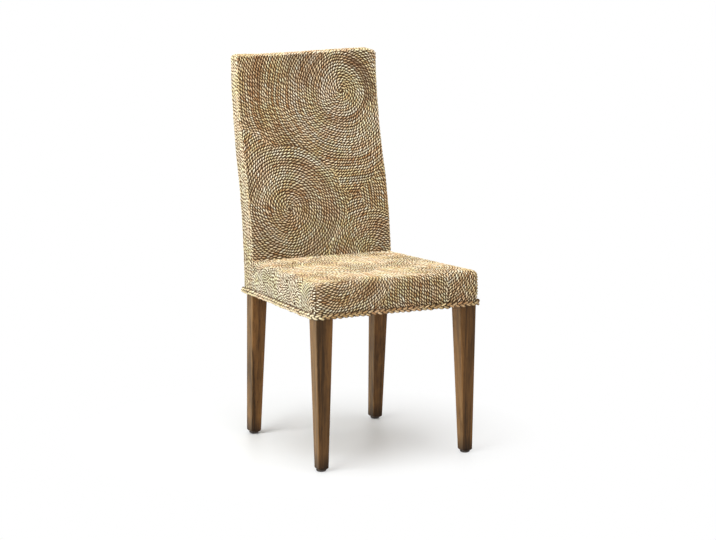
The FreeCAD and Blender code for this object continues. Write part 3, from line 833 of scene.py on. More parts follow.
@dataclass(frozen=True)
class Coil:
    """One flat coil of rope, in millimetres of the laid-out surface.

    The rings run round the middle. A place belongs to the coil that holds it in its core, or
    else to the one whose anchor is nearest, less its pull.
    """

    middle: tuple[float, float]
    core: float = 0.0
    pull: float = 0.0
    anchor: tuple[float, float] | None = None
    reach: float = 700.0
    pitch: float = 7.0
    turn: int = 1
    bands: tuple[Band, ...] = ()

    def nearness(self, places: Array) -> Array:
        """How strongly the coil claims places, least where it claims most.

        Args:
            places: Places on the laid-out surface.

        Returns:
            One number for each place.
        """
        from_anchor = np.linalg.norm(places - np.array(self.anchor or self.middle), axis=-1)
        from_middle = np.linalg.norm(places - np.array(self.middle), axis=-1)
        claim = from_anchor**2 - self.pull * np.abs(self.pull)
        return np.where(from_middle < self.core, from_middle - 1e7, claim)


class Surface:
    """A surface of the rope dress that can be laid out flat."""

    def place(self, spots: Array) -> tuple[Array, Array, Array]:
        """Where spots of the laid-out surface are.

        Args:
            spots: Places on the laid-out surface, in metres.

        Returns:
            Their places in the frame, the ways the surface faces there, and whether each is
            on the surface.
        """
        raise NotImplementedError


@dataclass
class LeaningFace(Surface):
    """The face or the rear of the back, laid out as width and height.

    Its profile is two arcs that meet at the bend. Its top edge swells more to the right.
    """

    start: float
    low_radius: float
    high_radius: float
    side: int
    low: float
    half: float = BACK_HALF
    bend: float = 344.5 * MM
    corner: float = 12 * MM
    edge: float = 8 * MM
    border: float = 0.3 * MM
    swell: float = 13 * MM
    swell_least: float = 0.2
    swell_start: float = -150 * MM
    swell_run: float = 330 * MM
    swell_deep: float = 110 * MM

    def swollen(self, points: Array) -> Array:
        """Lifts the top edge where the outer rings of the top coil ride up over it.

        Args:
            points: Places in the frame.

        Returns:
            The places after the lift.
        """
        rise = smooth((points[:, 0] - self.swell_start) / self.swell_run)
        inward = self.swell_least + (1 - self.swell_least) * rise
        reach = 2.5 * self.corner
        corner = 1 - 0.5 * smooth((points[:, 0] - self.half + reach) / reach)
        upper = smooth((points[:, 2] - CHAIR_TOP) / self.swell_deep + 1)
        lifted = points.copy()
        lifted[:, 2] += self.swell * inward * corner * upper
        return lifted

    def depth(self, height: Array) -> Array:
        """How deep the face lies at heights.

        Args:
            height: Heights above the floor.

        Returns:
            Depths in the frame.
        """
        rise = height - SKIRT_LOW
        sine = self.bend / self.low_radius
        cosine = math.sqrt(1 - sine**2)
        radii = self.low_radius + self.high_radius
        low = np.minimum(rise, self.bend)
        below = self.start + self.low_radius - np.sqrt(self.low_radius**2 - low**2)
        over = np.maximum(rise, self.bend) - radii * sine
        above = self.start + self.low_radius - radii * cosine
        above = above + np.sqrt(self.high_radius**2 - over**2)
        return SEAT_FRONT + np.where(rise < self.bend, below, above)

    def inward(self, spots: Array) -> tuple[Array, Array]:
        """How far spots are inside the outline, and the way out.

        Args:
            spots: Widths and heights.

        Returns:
            The distances, and the nearest edge's outward way in width and height.
        """
        sign = np.where(spots[:, 0] < 0, -1.0, 1.0)
        to_side = self.half - np.abs(spots[:, 0])
        to_top = CHAIR_TOP - spots[:, 1]
        in_corner = (to_side < self.corner) & (to_top < self.corner)
        offset = np.stack([self.corner - to_side, self.corner - to_top], -1)
        length = np.maximum(np.linalg.norm(offset, axis=1), 1e-9)
        side_first = to_side < to_top
        out = np.where(side_first[:, None], [1.0, 0.0], [0.0, 1.0])
        out = np.where(in_corner[:, None], offset / length[:, None], out)
        distance = np.where(in_corner, self.corner - length, np.minimum(to_side, to_top))
        out[:, 0] *= sign
        return distance, out

    def place(self, spots: Array) -> tuple[Array, Array, Array]:
        """Where spots of the laid-out face are, as Surface.place says."""
        distance, out = self.inward(spots)
        bite = np.clip((self.edge - distance) / self.edge, 0, 0.995)
        drop = self.edge * (1 - np.sqrt(1 - bite**2))
        small = 0.5 * MM
        slope = (self.depth(spots[:, 1] + small) - self.depth(spots[:, 1] - small)) / (2 * small)
        depth = self.depth(spots[:, 1]) - self.side * drop
        none = np.zeros_like(slope)
        flat = np.stack([none, none + self.side, -self.side * slope], -1)
        edgewise = np.stack([out[:, 0], none, out[:, 1]], -1)
        facing = unit(unit(flat) * np.sqrt(1 - bite**2)[:, None] + edgewise * bite[:, None])
        points = self.swollen(np.stack([spots[:, 0], depth, spots[:, 1]], -1))
        return points, facing, (distance > self.border) & (spots[:, 1] > self.low)


@dataclass
class SeatNet(Surface):
    """The seat's top with its front and side skirts folded out flat, as width and depth."""

    half: float = 236.8 * MM
    draw_in: float = 23.3 * MM / SEAT_DEEP
    long: float = 424.6 * MM
    edge: float = 14 * MM
    corner: float = 18 * MM
    bulge: float = 3 * MM
    taper: float = 90 * MM
    low: float = SKIRT_LOW + 1.0 * MM

    def fold(
        self, outline: Array, out: Array, past: Array, full: Array | float = 1.0
    ) -> tuple[Array, Array]:
        """Folds a flap down over the rounded edge.

        Args:
            outline: The nearest places on the seat's outline, in width and depth.
            out: The outward ways there.
            past: How far each spot is past the start of the rounded edge.
            full: How much of the bulge each spot has.

        Returns:
            Places in the frame, and the ways the surface faces there.
        """
        angle = np.clip(past / self.edge, 0, math.pi / 2)
        inset = self.edge * (1 - np.sin(angle))
        down = self.edge * (1 - np.cos(angle)) + np.maximum(past - self.edge * math.pi / 2, 0)
        swell = self.bulge * np.sin(math.pi * np.clip(down / (SEAT_TOP - SKIRT_LOW), 0, 1))
        plan = outline + out * (swell * full - inset)[:, None]
        points = np.stack([plan[:, 0], SEAT_FRONT + plan[:, 1], SEAT_TOP - down], -1)
        sine, cosine = np.sin(angle), np.cos(angle)
        facing = np.stack([out[:, 0] * sine, out[:, 1] * sine, cosine], -1)
        return points, facing

    def place(self, spots: Array) -> tuple[Array, Array, Array]:
        """Where spots of the laid-out seat are, as Surface.place says."""
        sign = np.where(spots[:, 0] < 0, -1.0, 1.0)
        wide, deep = np.abs(spots[:, 0]), spots[:, 1]
        tilt = math.atan(self.draw_in)
        side_out = np.array([math.cos(tilt), math.sin(tilt)])
        side_way = np.array([-math.sin(tilt), math.cos(tilt)])
        start = np.array([self.half, 0.0])
        gone = np.stack([wide, deep], -1) - start
        side_past = gone @ side_out + self.edge
        side_along = gone @ side_way
        front_past = self.edge - deep
        wrap = self.corner * math.pi / 4
        rounding = np.array([self.half - self.corner, self.corner])

        turn = np.maximum(wide - (self.half - self.corner), 0) / self.corner
        front_out = np.stack([np.sin(turn), -np.cos(turn)], -1)
        straight = np.stack([wide, 0 * wide], -1)
        line = np.where(turn[:, None] > 0, rounding + self.corner * front_out, straight)
        front = self.fold(line, front_out, front_past)

        turn = np.maximum(self.corner - side_along, 0) / self.corner
        turned = np.stack([np.cos(turn), -np.sin(turn)], -1)
        out = np.where(turn[:, None] > 0, turned, side_out)
        straight = start + side_along[:, None] * side_way
        line = np.where(turn[:, None] > 0, rounding + self.corner * turned, straight)
        side = self.fold(line, out, side_past, np.clip((self.long - deep) / self.taper, 0, 1))

        flat_point = np.stack([wide, SEAT_FRONT + deep, np.full_like(wide, SEAT_TOP)], -1)
        flat_facing = np.broadcast_to([0.0, 0.0, 1.0], flat_point.shape)
        on_top = (front_past <= 0) & (side_past <= 0)
        on_front = (front_past > 0) & (wide < self.half - self.corner + wrap)
        on_side = (side_past > 0) & (side_along > self.corner - wrap) & ~on_front
        flaps = [np.where(on_front[:, None], *pair) for pair in zip(front, side)]
        points = np.where(on_top[:, None], flat_point, flaps[0])
        facing = np.where(on_top[:, None], flat_facing, flaps[1])
        points[:, 0] *= sign
        facing[:, 0] *= sign
        inside = (on_top | on_front | on_side) & (deep < self.long) & (points[:, 2] > self.low)
        return points, facing, inside


@dataclass
class CoiledDress(Dress):
    """Rope laid on a surface in coils that meet each other, sewn to a cloth."""

    surface: Surface
    coils: tuple[Coil, ...]
    seed: int
    # Painted light: how much paler the rope is painted where it faces left toward the key lamp, how
    # much of that where it faces up, and how far its warmth shifts to olive where it faces left.
    painted_light: float = 0.0
    painted_light_top: float = 0.2
    painted_light_olive: float = 0.5
    rope: TwistedRope = field(default_factory=TwistedRope)
    shortest: float = 7 * MM
    uneven: float = 0.35 * MM
    lift: float = 0.4 * MM
    overlap: int = 2
    stray: float = 1.6 * MM
    stray_long: float = 19 * MM

    def strayed(self, spots: Array) -> Array:
        """Spots moved a little, neighbours alike, as ropes stray that are laid by hand.

        Args:
            spots: Places on the laid-out surface, in metres.

        Returns:
            The places after the move.
        """
        turned = spots / self.stray_long + self.seed
        swing = np.sin(turned[:, ::-1] + 1.2 * np.sin(0.6 * turned))
        return spots + self.stray * swing

    def owners(self, spots: Array) -> Array:
        """The coil that each spot belongs to.

        Args:
            spots: Places on the laid-out surface, in metres.

        Returns:
            The coils' places in the table.
        """
        claims = [coil.nearness(spots / MM) for coil in self.coils]
        return np.argmin(np.stack(claims), axis=0)

    def near_own(self, own: Array) -> Array:
        """Lets each stretch run on a little past the border of its coil.

        Args:
            own: Whether each spot of the line is in the coil's own part.

        Returns:
            The same, spread along the line by the overlap.
        """
        wider = own.copy()
        for step in range(1, self.overlap + 1):
            wider[step:] |= own[:-step]
            wider[:-step] |= own[step:]
        return wider

    def spiral(self, coil: Coil, rng: np.random.Generator) -> tuple[Array, ...]:
        """The line of one coil on the laid-out surface.

        Args:
            coil: The coil.
            rng: The source of its unevenness.

        Returns:
            Its spots, distances along it, distances from its middle, and angles.
        """
        pitch = coil.pitch * MM
        tightest = 0.55 * pitch
        longest = math.pi * (coil.reach * MM) ** 2 / pitch
        along = np.arange(0, longest, self.rope.step)
        away = np.sqrt(tightest**2 + along * pitch / math.pi)
        angle = coil.turn * 2 * math.pi * away / pitch + rng.uniform(0, 6)
        uneven = away + self.uneven * wander(along, 0.03, rng)
        spots = np.stack([uneven * np.cos(angle), uneven * np.sin(angle)], -1)
        return spots + np.array(coil.middle) * MM, along, away, angle

    def shades(
        self, coil: Coil, along: Array, away: Array, angle: Array, rng: np.random.Generator
    ) -> tuple[Array, ...]:
        """How pale and how grey the rope is along its line.

        Args:
            coil: The coil.
            along: Distances along the rope.
            away: Distances from the coil's middle.
            angle: Angles round it.
            rng: The source of the shades.

        Returns:
            Tones, ages and warmths.
        """
        tone = 0.52 + 0.12 * wander(along, 0.05, rng) + 0.22 * wander(along, 0.28, rng)
        warm = 0.5 + 0.25 * wander(along, 0.12, rng) + 0.3 * wander(along, 0.9, rng)
        ring = away + 5 * MM * np.sin(angle + rng.uniform(0, 6))
        tone = tone + 0.14 * wander(ring, 0.013, rng)
        warm = warm + 0.2 * wander(ring, 0.03, rng)
        age = greyed(along, rng)
        heading = np.degrees(np.arctan2(np.sin(angle), np.cos(angle)))
        for band in coil.bands:
            inside = band.share(away / MM, heading)
            tone = tone - band.darker * inside
            age = age + band.greyer * inside * (0.6 + 0.4 * wander(along, 0.02, rng))
        return tone, np.clip(age, 0, 1), warm

    def runs(self) -> list[Run]:
        """Every stretch of rope on the surface.

        Returns:
            The stretches.
        """
        found = []
        for index, coil in enumerate(self.coils):
            rng = np.random.default_rng(self.seed * 100 + index)
            spots, along, away, angle = self.spiral(coil, rng)
            points, facing, inside = self.surface.place(self.strayed(spots))
            tone, age, warm = self.shades(coil, along, away, angle, rng)
            # Painted light: paler and more olive where the rope faces the lamps.
            lit = np.maximum(self.painted_light_top * facing[:, 2], key_lamp_facing(facing))
            tone = tone + self.painted_light * lit
            warm = warm - self.painted_light_olive * key_lamp_facing(facing)
            lift = self.lift * wander(along, 0.03, rng) - self.rope.half_tall
            slip = twist_slip(along, rng)
            mine = inside & self.near_own(self.owners(spots) == index)
            line = points + facing * lift[:, None]
            edges = np.flatnonzero(np.diff(np.concatenate([[0], mine.astype(int), [0]])))
            for first, last in zip(edges[::2], edges[1::2]):
                if (last - first) * self.rope.step < self.shortest:
                    continue
                whole = (line, facing, along, tone, age, warm, slip)
                found.append(Run(*(values[first:last] for values in whole)))
        return found

    def fill(self, parts: MeshParts) -> None:
        """Adds every stretch of rope, as Dress.fill says."""
        for index, run in enumerate(self.runs()):
            self.rope.lay_run(parts, run, index * 1.7)


@dataclass
class EdgeRows(Dress):
    """Ropes side by side that run up one narrow side of the back, over its top and down."""

    front: LeaningFace
    rear: LeaningFace
    seed: int = 5
    count: int = 9
    tuck: float = math.radians(32)
    lift: float = 0.8 * MM
    # Painted light: how far the warmth shifts to olive on faces toward the key lamp.
    painted_light_olive: float = 0.75
    rope: TwistedRope = field(default_factory=TwistedRope)

    def outline(self) -> tuple[Array, Array]:
        """Places along the sides and the top, one step of rope apart.

        Returns:
            The places in width and height, and the outward ways there.
        """
        half, corner = self.front.half, self.front.corner
        high = CHAIR_TOP - corner
        rise, arc, across = high - SKIRT_LOW, corner * math.pi / 2, 2 * (half - corner)
        marks = np.cumsum([0, rise, arc, across, arc, rise])
        gone = np.arange(0, marks[-1], self.rope.step)
        angle = np.interp(gone, marks, np.radians([180, 180, 90, 90, 0, 0]))
        out = np.stack([np.cos(angle), np.sin(angle)], -1)
        middle_x = np.interp(gone, marks[2:4], [corner - half, half - corner])
        middle_z = np.interp(gone, marks[[0, 1, 4, 5]], [SKIRT_LOW, high, high, SKIRT_LOW])
        return np.stack([middle_x, middle_z], -1) + out * corner, out

    def row(self, spots: Array, out: Array, share: float) -> tuple[Array, Array]:
        """The line of one row.

        Args:
            spots: Places on the outline.
            out: The outward ways there.
            share: How far the row lies from the face to the rear, from 0 to 1.

        Returns:
            Points of the rope's surface and the ways it faces.
        """
        edge = self.front.edge
        heights = spots[:, 1] - out[:, 1] * edge
        near, far = self.front.depth(heights), self.rear.depth(heights)
        turn = edge * (math.pi / 2 - self.tuck)
        straight = far - near - 2 * edge
        gone = share * (2 * turn + straight)
        past = np.clip(gone - turn, 0, straight)
        bend = self.tuck + (gone - past) / edge
        depth = near + edge + past - edge * np.cos(bend)
        place = spots + out * (edge * (np.sin(bend) - 1))[:, None]
        points = np.stack([place[:, 0], depth, place[:, 1]], -1)
        facing = np.stack([out[:, 0] * np.sin(bend), -np.cos(bend), out[:, 1] * np.sin(bend)], -1)
        return self.front.swollen(points), facing

    def fill(self, parts: MeshParts) -> None:
        """Adds every row, as Dress.fill says."""
        rng = np.random.default_rng(self.seed)
        spots, out = self.outline()
        along = np.arange(len(spots)) * self.rope.step
        for index, share in enumerate(np.linspace(0, 1, self.count)):
            points, facing = self.row(spots, out, share)
            lift = self.lift * wander(along, 0.03, rng) - self.rope.half_tall
            tone = 0.52 + 0.12 * wander(along, 0.05, rng) + 0.2 * wander(along, 0.28, rng)
            warm = 0.5 + 0.25 * wander(along, 0.12, rng)
            # Painted light: more olive where the rows face the key lamp.
            warm = warm - self.painted_light_olive * key_lamp_facing(facing)
            age = greyed(along, rng)
            slip = twist_slip(along, rng)
            line = points + facing * lift[:, None]
            self.rope.lay_run(parts, Run(line, facing, along, tone, age, warm, slip), index * 2.3)


@dataclass
class Sacking(Dress):
    """The cloth under the rope: a thin double skin that follows a surface, dark as painted shade in
    the gaps between the ropes.
    """

    surface: Surface
    widths: tuple[float, float, int]
    heights: tuple[float, float, int]

    def fill(self, parts: MeshParts) -> None:
        """Adds both faces of the cloth, as Dress.fill says."""
        wide, high = np.linspace(*self.widths), np.linspace(*self.heights)
        grid = np.stack(np.meshgrid(wide, high, indexing="ij"), -1).reshape(-1, 2)
        points, facing, inside = self.surface.place(grid)
        faces = grid_faces(len(wide), len(high))
        faces = faces[inside[faces].all(axis=1)]
        corner, ahead, beside = (points[faces[:, place]] for place in (0, 1, 3))
        normal = np.cross(ahead - corner, beside - corner)
        flip = (normal * facing[faces[:, 0]]).sum(axis=1) < 0
        faces[flip] = faces[flip][:, ::-1]
        parts.add(points - facing * CLOTH_OUTER, faces)
        parts.add(points - facing * CLOTH_INNER, faces[:, ::-1])


@dataclass
class HemBraid(Dress):
    """A flat plait of three strands, sewn round the lower edge of the dress."""

    net: SeatNet
    rear_depth: float
    back_round: float = 4.5 * MM
    proud: float = 2.4 * MM
    middle: float = SKIRT_LOW + 6.0 * MM
    wide: float = 4.6 * MM
    deep: float = 3.2 * MM
    plait: float = 48 * MM
    step: float = 1.5 * MM
    seed: int = 31

    def bend(self, middle: tuple[float, float], radius: float, first: float, last: float) -> list:
        """The line round one upright corner.

        Args:
            middle: The corner's centre, in width and depth.
            radius: Its radius.
            first: The angle where it starts.
            last: The angle where it ends.

        Returns:
            Pairs of a point and the outward way there.
        """
        ways = [np.array([math.cos(turn), math.sin(turn)]) for turn in np.linspace(first, last, 14)]
        return [(np.array(middle) + way * (radius + self.proud), way) for way in ways]

    def path(self) -> tuple[Array, Array]:
        """The line round the chair that the plait follows.

        Returns:
            Its points in width and depth, evenly spaced, and the outward ways there.
        """
        net = self.net
        side = math.atan(net.draw_in)
        out_side = np.array([math.cos(side), math.sin(side)])
        halfway = np.array([math.cos(side / 2), math.sin(side / 2)])
        back_corner = (BACK_HALF - self.back_round, self.rear_depth - self.back_round)
        half = self.bend((net.half - net.corner, net.corner), net.corner, -math.pi / 2, side)
        half.append((np.array([BACK_HALF, SEAT_DEEP]) + self.proud * out_side, halfway))
        half += self.bend(back_corner, self.back_round, 0, math.pi / 2)
        flip = np.array([-1, 1])
        pairs = half + [(point * flip, way * flip) for point, way in half[::-1]] + half[:1]
        loop, ways = (np.array(values) for values in zip(*pairs))
        gone = np.concatenate([[0], np.cumsum(np.linalg.norm(np.diff(loop, axis=0), axis=1))])
        count = int(gone[-1] / self.step)
        even = np.linspace(0, gone[-1], count + 1)
        line = np.stack([np.interp(even, gone, loop[:, axis]) for axis in range(2)], -1)
        out = np.stack([np.interp(even, gone, ways[:, axis]) for axis in range(2)], -1)
        return line, unit(out)

    def fill(self, parts: MeshParts) -> None:
        """Adds the three strands, as Dress.fill says."""
        line, out = self.path()
        along = np.concatenate([[0], np.cumsum(np.linalg.norm(np.diff(line, axis=0), axis=1))])
        plaits = round(along[-1] / self.plait)
        turn = 2 * math.pi * along / along[-1] * plaits
        strand = TwistedRope(
            half_wide=3.3 * MM,
            half_tall=2.6 * MM,
            lay=60 * MM,
            strands=5,
            step=self.step,
            strand_share=0.12,
            closed=True,
        )
        rng = np.random.default_rng(self.seed)
        for index in range(3):
            phase = turn + 2 * math.pi * index / 3
            up = self.middle + self.wide * np.sin(phase)
            proud = self.deep * np.sin(2 * phase)
            plan = line + out * proud[:, None]
            points = np.stack([plan[:, 0], SEAT_FRONT + plan[:, 1], up], -1)
            facing = np.stack([out[:, 0], out[:, 1], np.zeros(len(out))], -1)
            points[:, 2] += 1.4 * MM * wander(along, 0.03, rng)
            # Painted light: the plait is paler and more olive where it faces the key lamp.
            lamp_lit = key_lamp_facing(out)
            tone = 0.2 + 0.3 * wander(along, 0.02, rng) + 0.2 * lamp_lit
            age = np.clip(wander(along, 0.06, rng) - 0.7, 0, 1)
            warm = 0.5 + 0.3 * wander(along, 0.1, rng) - 0.6 * lamp_lit
            slip = 2.0 * wander(along, 0.06, rng)
            # Painted shade where each strand dives under the others.
            dive_shade = 0.8 * smooth(0.8 - 1.4 * np.sin(2 * phase))
            run = Run(points, facing, along, tone, age, warm, slip, dive_shade)
            strand.lay_run(parts, run, 40.0 + index)


@dataclass
class RopeBack:
    """The back's dress: coils on the face and the rear, rows over the narrow sides.

    The radii are those of the low and the high arc of each profile. The face's low arc passes
    through the rear edge of the seat's top, which is a skirt's height above the hem.
    """

    thick: float = 55.3 * MM
    skirt_tall: float = 90 * MM
    face_radii: tuple[float, float] = (1.255, 1.187)
    rear_radii: tuple[float, float] = (1.503, 1.304)
    face_coils: tuple[Coil, ...] = (
        Coil(
            (100, 914),
            pull=206,
            bands=(
                Band(0, 150, darker=-0.13),
                Band(28, 66, darker=-0.05),
                Band(68, 82, darker=0.16, greyer=0.3),
                Band(70, 98, -30, 80, 0.18, 0.8),
                Band(95, 190, 115, 180, 0.12, 0.5),
                Band(185, 320, 150, 192, 0.14, 0.1),
                Band(185, 240, 192, 245, 0.12, 0.25),
            ),
        ),
        Coil(
            (-90, 612),
            core=168,
            pull=57,
            pitch=7.4,
            bands=(
                Band(62, 110, 40, 150, -0.12),
                Band(115, 150, 135, 190, 0.2, 0.7),
                Band(138, 168, 20, 110, -0.16),
                Band(120, 134, 15, 110, 0.2, 0.2),
                Band(20, 60, -120, 20, 0.08),
            ),
        ),
        Coil((152, 464), core=132, bands=(Band(0, 110, darker=-0.05),)),
        Coil((-90, 612), anchor=(354, 620), pull=150, pitch=7.4),
    )
    rear_coils: tuple[Coil, ...] = (
        Coil((-70, 880), pull=120, turn=-1),
        Coil((96, 640), core=150, pull=60, turn=-1),
        Coil((-120, 520), core=120, pull=40),
        Coil((230, 900), core=90, pull=-200, reach=200),
    )

    @property
    def start(self) -> float:
        """How deep the face lies at the foot of its profile."""
        radius = self.face_radii[0]
        return SEAT_DEEP - radius + math.sqrt(radius**2 - self.skirt_tall**2)

    @property
    def rear_depth(self) -> float:
        """How deep the rear lies at the foot of its profile."""
        return self.start + self.thick

    def build(self, rope: Material, cloth: Material) -> list[Piece]:
        """Makes the pieces of the back's dress.

        Args:
            rope: The rope's finish.
            cloth: The cloth's finish.

        Returns:
            The pieces.
        """
        front = LeaningFace(self.start, *self.face_radii, -1, SEAT_TOP - 8 * MM)
        rear = LeaningFace(self.rear_depth, *self.rear_radii, 1, SKIRT_LOW + 1 * MM)
        pieces = [
            CoiledDress(front, self.face_coils, 3).build("back_face_rope", rope),
            CoiledDress(rear, self.rear_coils, 4).build("back_rear_rope", rope),
            EdgeRows(front, rear).build("back_edge_rope", rope),
        ]
        for face, name in ((front, "back_face_sacking_shade"), (rear, "back_rear_sacking_shade")):
            widths = (-face.half + 0.4 * MM, face.half - 0.4 * MM, 60)
            heights = (face.low + 0.1 * MM, CHAIR_TOP - 0.4 * MM, 80)
            pieces.append(Sacking(face, widths, heights).build(name, cloth))
        pieces.append(self.side_cloth(front, rear, cloth))
        for piece in pieces:
            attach(piece, "root")
            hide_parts("back_cover")
        return pieces

    def side_cloth(self, front: LeaningFace, rear: LeaningFace, cloth: Material) -> Piece:
        """The cloth over the narrow sides and the top, dark as painted shade between the rows.

        Args:
            front: The back's face.
            rear: The back's rear.
            cloth: The cloth's finish.

        Returns:
            The piece.
        """
        spots, out = EdgeRows(front, rear).outline()
        rows = []
        for depth in (CLOTH_OUTER, CLOTH_INNER):
            inner = spots - out * depth
            for share in (0.06, 0.5, 0.94):
                near, far = front.depth(inner[:, 1]), rear.depth(inner[:, 1])
                rows.append(np.stack([inner[:, 0], near + (far - near) * share, inner[:, 1]], -1))
        points = np.stack(rows, 1).reshape(-1, 3)
        count = len(spots)
        first = np.arange(count - 1)[:, None] * len(rows)
        strip = np.array([0, 1, len(rows) + 1, len(rows)])
        faces = [first + row + strip for row in (0, 1)]
        faces += [first + row + strip[[1, 0, 3, 2]] for row in (3, 4)]
        parts = MeshParts()
        parts.add(points, np.concatenate(faces))
        return parts.build("back_side_sacking_shade", cloth)


@dataclass
class RopeSeat:
    """The seat's dress: coils that run over its top and down its skirts."""

    net: SeatNet = field(default_factory=SeatNet)
    coils: tuple[Coil, ...] = (
        Coil((-162, 76), anchor=(-150, 20), core=60, pull=60, bands=(Band(20, 44, 0, 360, 0.05),)),
        Coil((330, -30), anchor=(82, -60), pull=20),
        Coil((92, 70), anchor=(205, -55), pull=20),
        Coil((120, 130), anchor=(120, 110), core=70, pull=40, turn=-1),
        Coil((-40, 270), anchor=(-40, 260), core=90, pull=60),
        Coil((150, 340), anchor=(150, 340), core=80, turn=-1),
        Coil((-170, 372), anchor=(-170, 372), core=60, turn=-1),
        Coil((-240, 176), anchor=(-285, 190), core=60, pull=30),
        Coil((-292, 132), core=26),
        Coil((-262, 330), anchor=(-290, 330), pull=30),
        Coil((-300, 20), anchor=(-300, 40), pull=10),
        Coil((255, 150), anchor=(285, 150), core=40, pull=30, turn=-1),
        Coil((250, 320), anchor=(285, 330), core=40, pull=30),
    )

    def build(self, rope: Material, cloth: Material) -> list[Piece]:
        """Makes the pieces of the seat's dress.

        Args:
            rope: The rope's finish.
            cloth: The cloth's finish.

        Returns:
            The pieces.
        """
        # The seat's top and left skirt get painted light: their rope is painted paler.
        top = CoiledDress(self.net, self.coils, 8, painted_light=0.46).build("seat_rope", rope)
        widths, depths = (-336 * MM, 336 * MM, 150), (-90 * MM, 424 * MM, 120)
        cloth_piece = Sacking(self.net, widths, depths).build("seat_sacking_shade", cloth)
        for piece in (top, cloth_piece):
            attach(piece, "root")
            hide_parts("seat_cover")
        return [top, cloth_piece]


@dataclass
class Glide:
    """A nylon glide nailed under one foot: a cap with a rounded rim, and its square nail."""

    foot: str
    spot: tuple[float, float]
    cap: tuple[tuple[float, float], ...] = (
        (8.0, 0.0),
        (8.6, 0.0),
        (10.2, 0.5),
        (11.8, 1.7),
        (12.9, 3.3),
        (13.2, 4.7),
        (12.9, 5.6),
        (12.3, 5.95),
        (11.6, 5.95),
    )
    nail: tuple[tuple[float, float], ...] = ((1.4, 5.9), (1.4, 17.5), (0.4, 21.8))
    round: int = 48

    def add_rings(
        self, parts: MeshParts, rings: tuple[tuple[float, float], ...], count: int
    ) -> None:
        """Adds rings of points one above another, walled and closed at both ends.

        Args:
            parts: The mesh being put together.
            rings: Reach and height of each ring in millimetres, from the lowest.
            count: Points in a ring; four make a square, whose reach is half its side.
        """
        reach = 1 / math.cos(math.pi / 4) if count == 4 else 1
        angle = (np.arange(count) + 0.5) * 2 * math.pi / count
        around = np.stack([np.cos(angle), np.sin(angle)], -1) * reach
        layers = []
        for wide, height in rings:
            plan = self.spot + around * wide * MM
            layers.append(np.column_stack([plan, np.full(count, height * MM)]))
        here = np.arange(count)
        after = (here + 1) % count
        wall = np.stack([here, after, after + count, here + count], -1)
        step = np.arange(count // 2 - 1)
        lid = np.stack([step, step + 1, count - 2 - step, count - 1 - step], -1)
        last = len(rings) - 1
        walls = [wall + count * level for level in range(last)]
        faces = [lid[:, ::-1], *walls, lid + count * last]
        parts.add(np.concatenate(layers), np.concatenate(faces))

    def build(self, material: Material) -> Piece:
        """Makes the piece.

        Args:
            material: The glide's finish.

        Returns:
            The object.
        """
        parts = MeshParts()
        self.add_rings(parts, self.cap, self.round)
        self.add_rings(parts, self.nail, 4)
        piece = parts.build(f"foot_glide_{self.foot}", material)
        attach(piece, "root")
        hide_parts(f"glide_{self.foot}")
        return piece


@dataclass
class WoodenFrame:
    """The pieces of the frame that stay as packed and take a finish: legs, rails and so on."""

    stain: tuple = (tint(134, 94, 54), tint(59, 42, 24), tint(26, 17, 10))
    raw: tuple = (tint(206, 176, 132), tint(168, 132, 88), tint(120, 90, 58))

    def finishes(self) -> dict[str, Material]:
        """One material for each kind of piece.

        Returns:
            Materials by node name.
        """
        # The legs get painted light on their side faces and painted shade towards their feet.
        legs = WoodFinish(
            "stained_leg_painted_light",
            *self.stain,
            GrainWay.UPRIGHT,
            0.42,
            worn=0.5,
            foot=0.05,
            gloss=0.15,
            shift=(6.4, 3.7, 5.2),
            sides=0.6,
        ).build()
        cross = WoodFinish("bare_rail_across", *self.raw, GrainWay.ACROSS, 0.6).build()
        deep = WoodFinish("bare_rail_deep", *self.raw, GrainWay.DEEP, 0.6).build()
        upright = WoodFinish("bare_block", *self.raw, GrainWay.UPRIGHT, 0.6).build()
        ply = PlyFinish().build()
        steel = MetalFinish().build()
        kinds = {
            "_leg_": legs,
            "corner_block": upright,
            "left_rail": deep,
            "right_rail": deep,
            "_rail": cross,
            "back_tenons": cross,
            "_lining": ply,
            "seat_panel": ply,
            "seat_screws": steel,
        }
        chosen = {}
        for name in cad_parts:
            fitting = [material for word, material in kinds.items() if word in name]
            if fitting:
                chosen[name] = fitting[0]
        return chosen

    def build(self) -> None:
        """Puts each finish on its nodes."""
        for name, material in self.finishes().items():
            piece = bpy.data.objects[name]
            piece.data.materials.clear()
            piece.data.materials.append(material)
            LOG.info("%s: finish %s", name, material.name)


@dataclass(frozen=True)
class Lamp:
    """A soft square lamp: where it stands, what it points at, its side, watts and colour."""

    name: str
    spot: tuple[float, float, float]
    aim: tuple[float, float, float]
    size: float
    power: float
    colour: tuple[float, float, float]

    def build(self) -> None:
        """Puts the lamp in the scene."""
        data = bpy.data.lights.new(self.name, "AREA")
        data.shape = "SQUARE"
        data.size = self.size
        data.energy = self.power
        data.color = self.colour
        lamp = bpy.data.objects.new(self.name, data)
        lamp.location = self.spot
        way = Vector(self.aim) - Vector(self.spot)
        lamp.rotation_euler = way.to_track_quat("-Z", "Y").to_euler()
        bpy.context.scene.collection.objects.link(lamp)


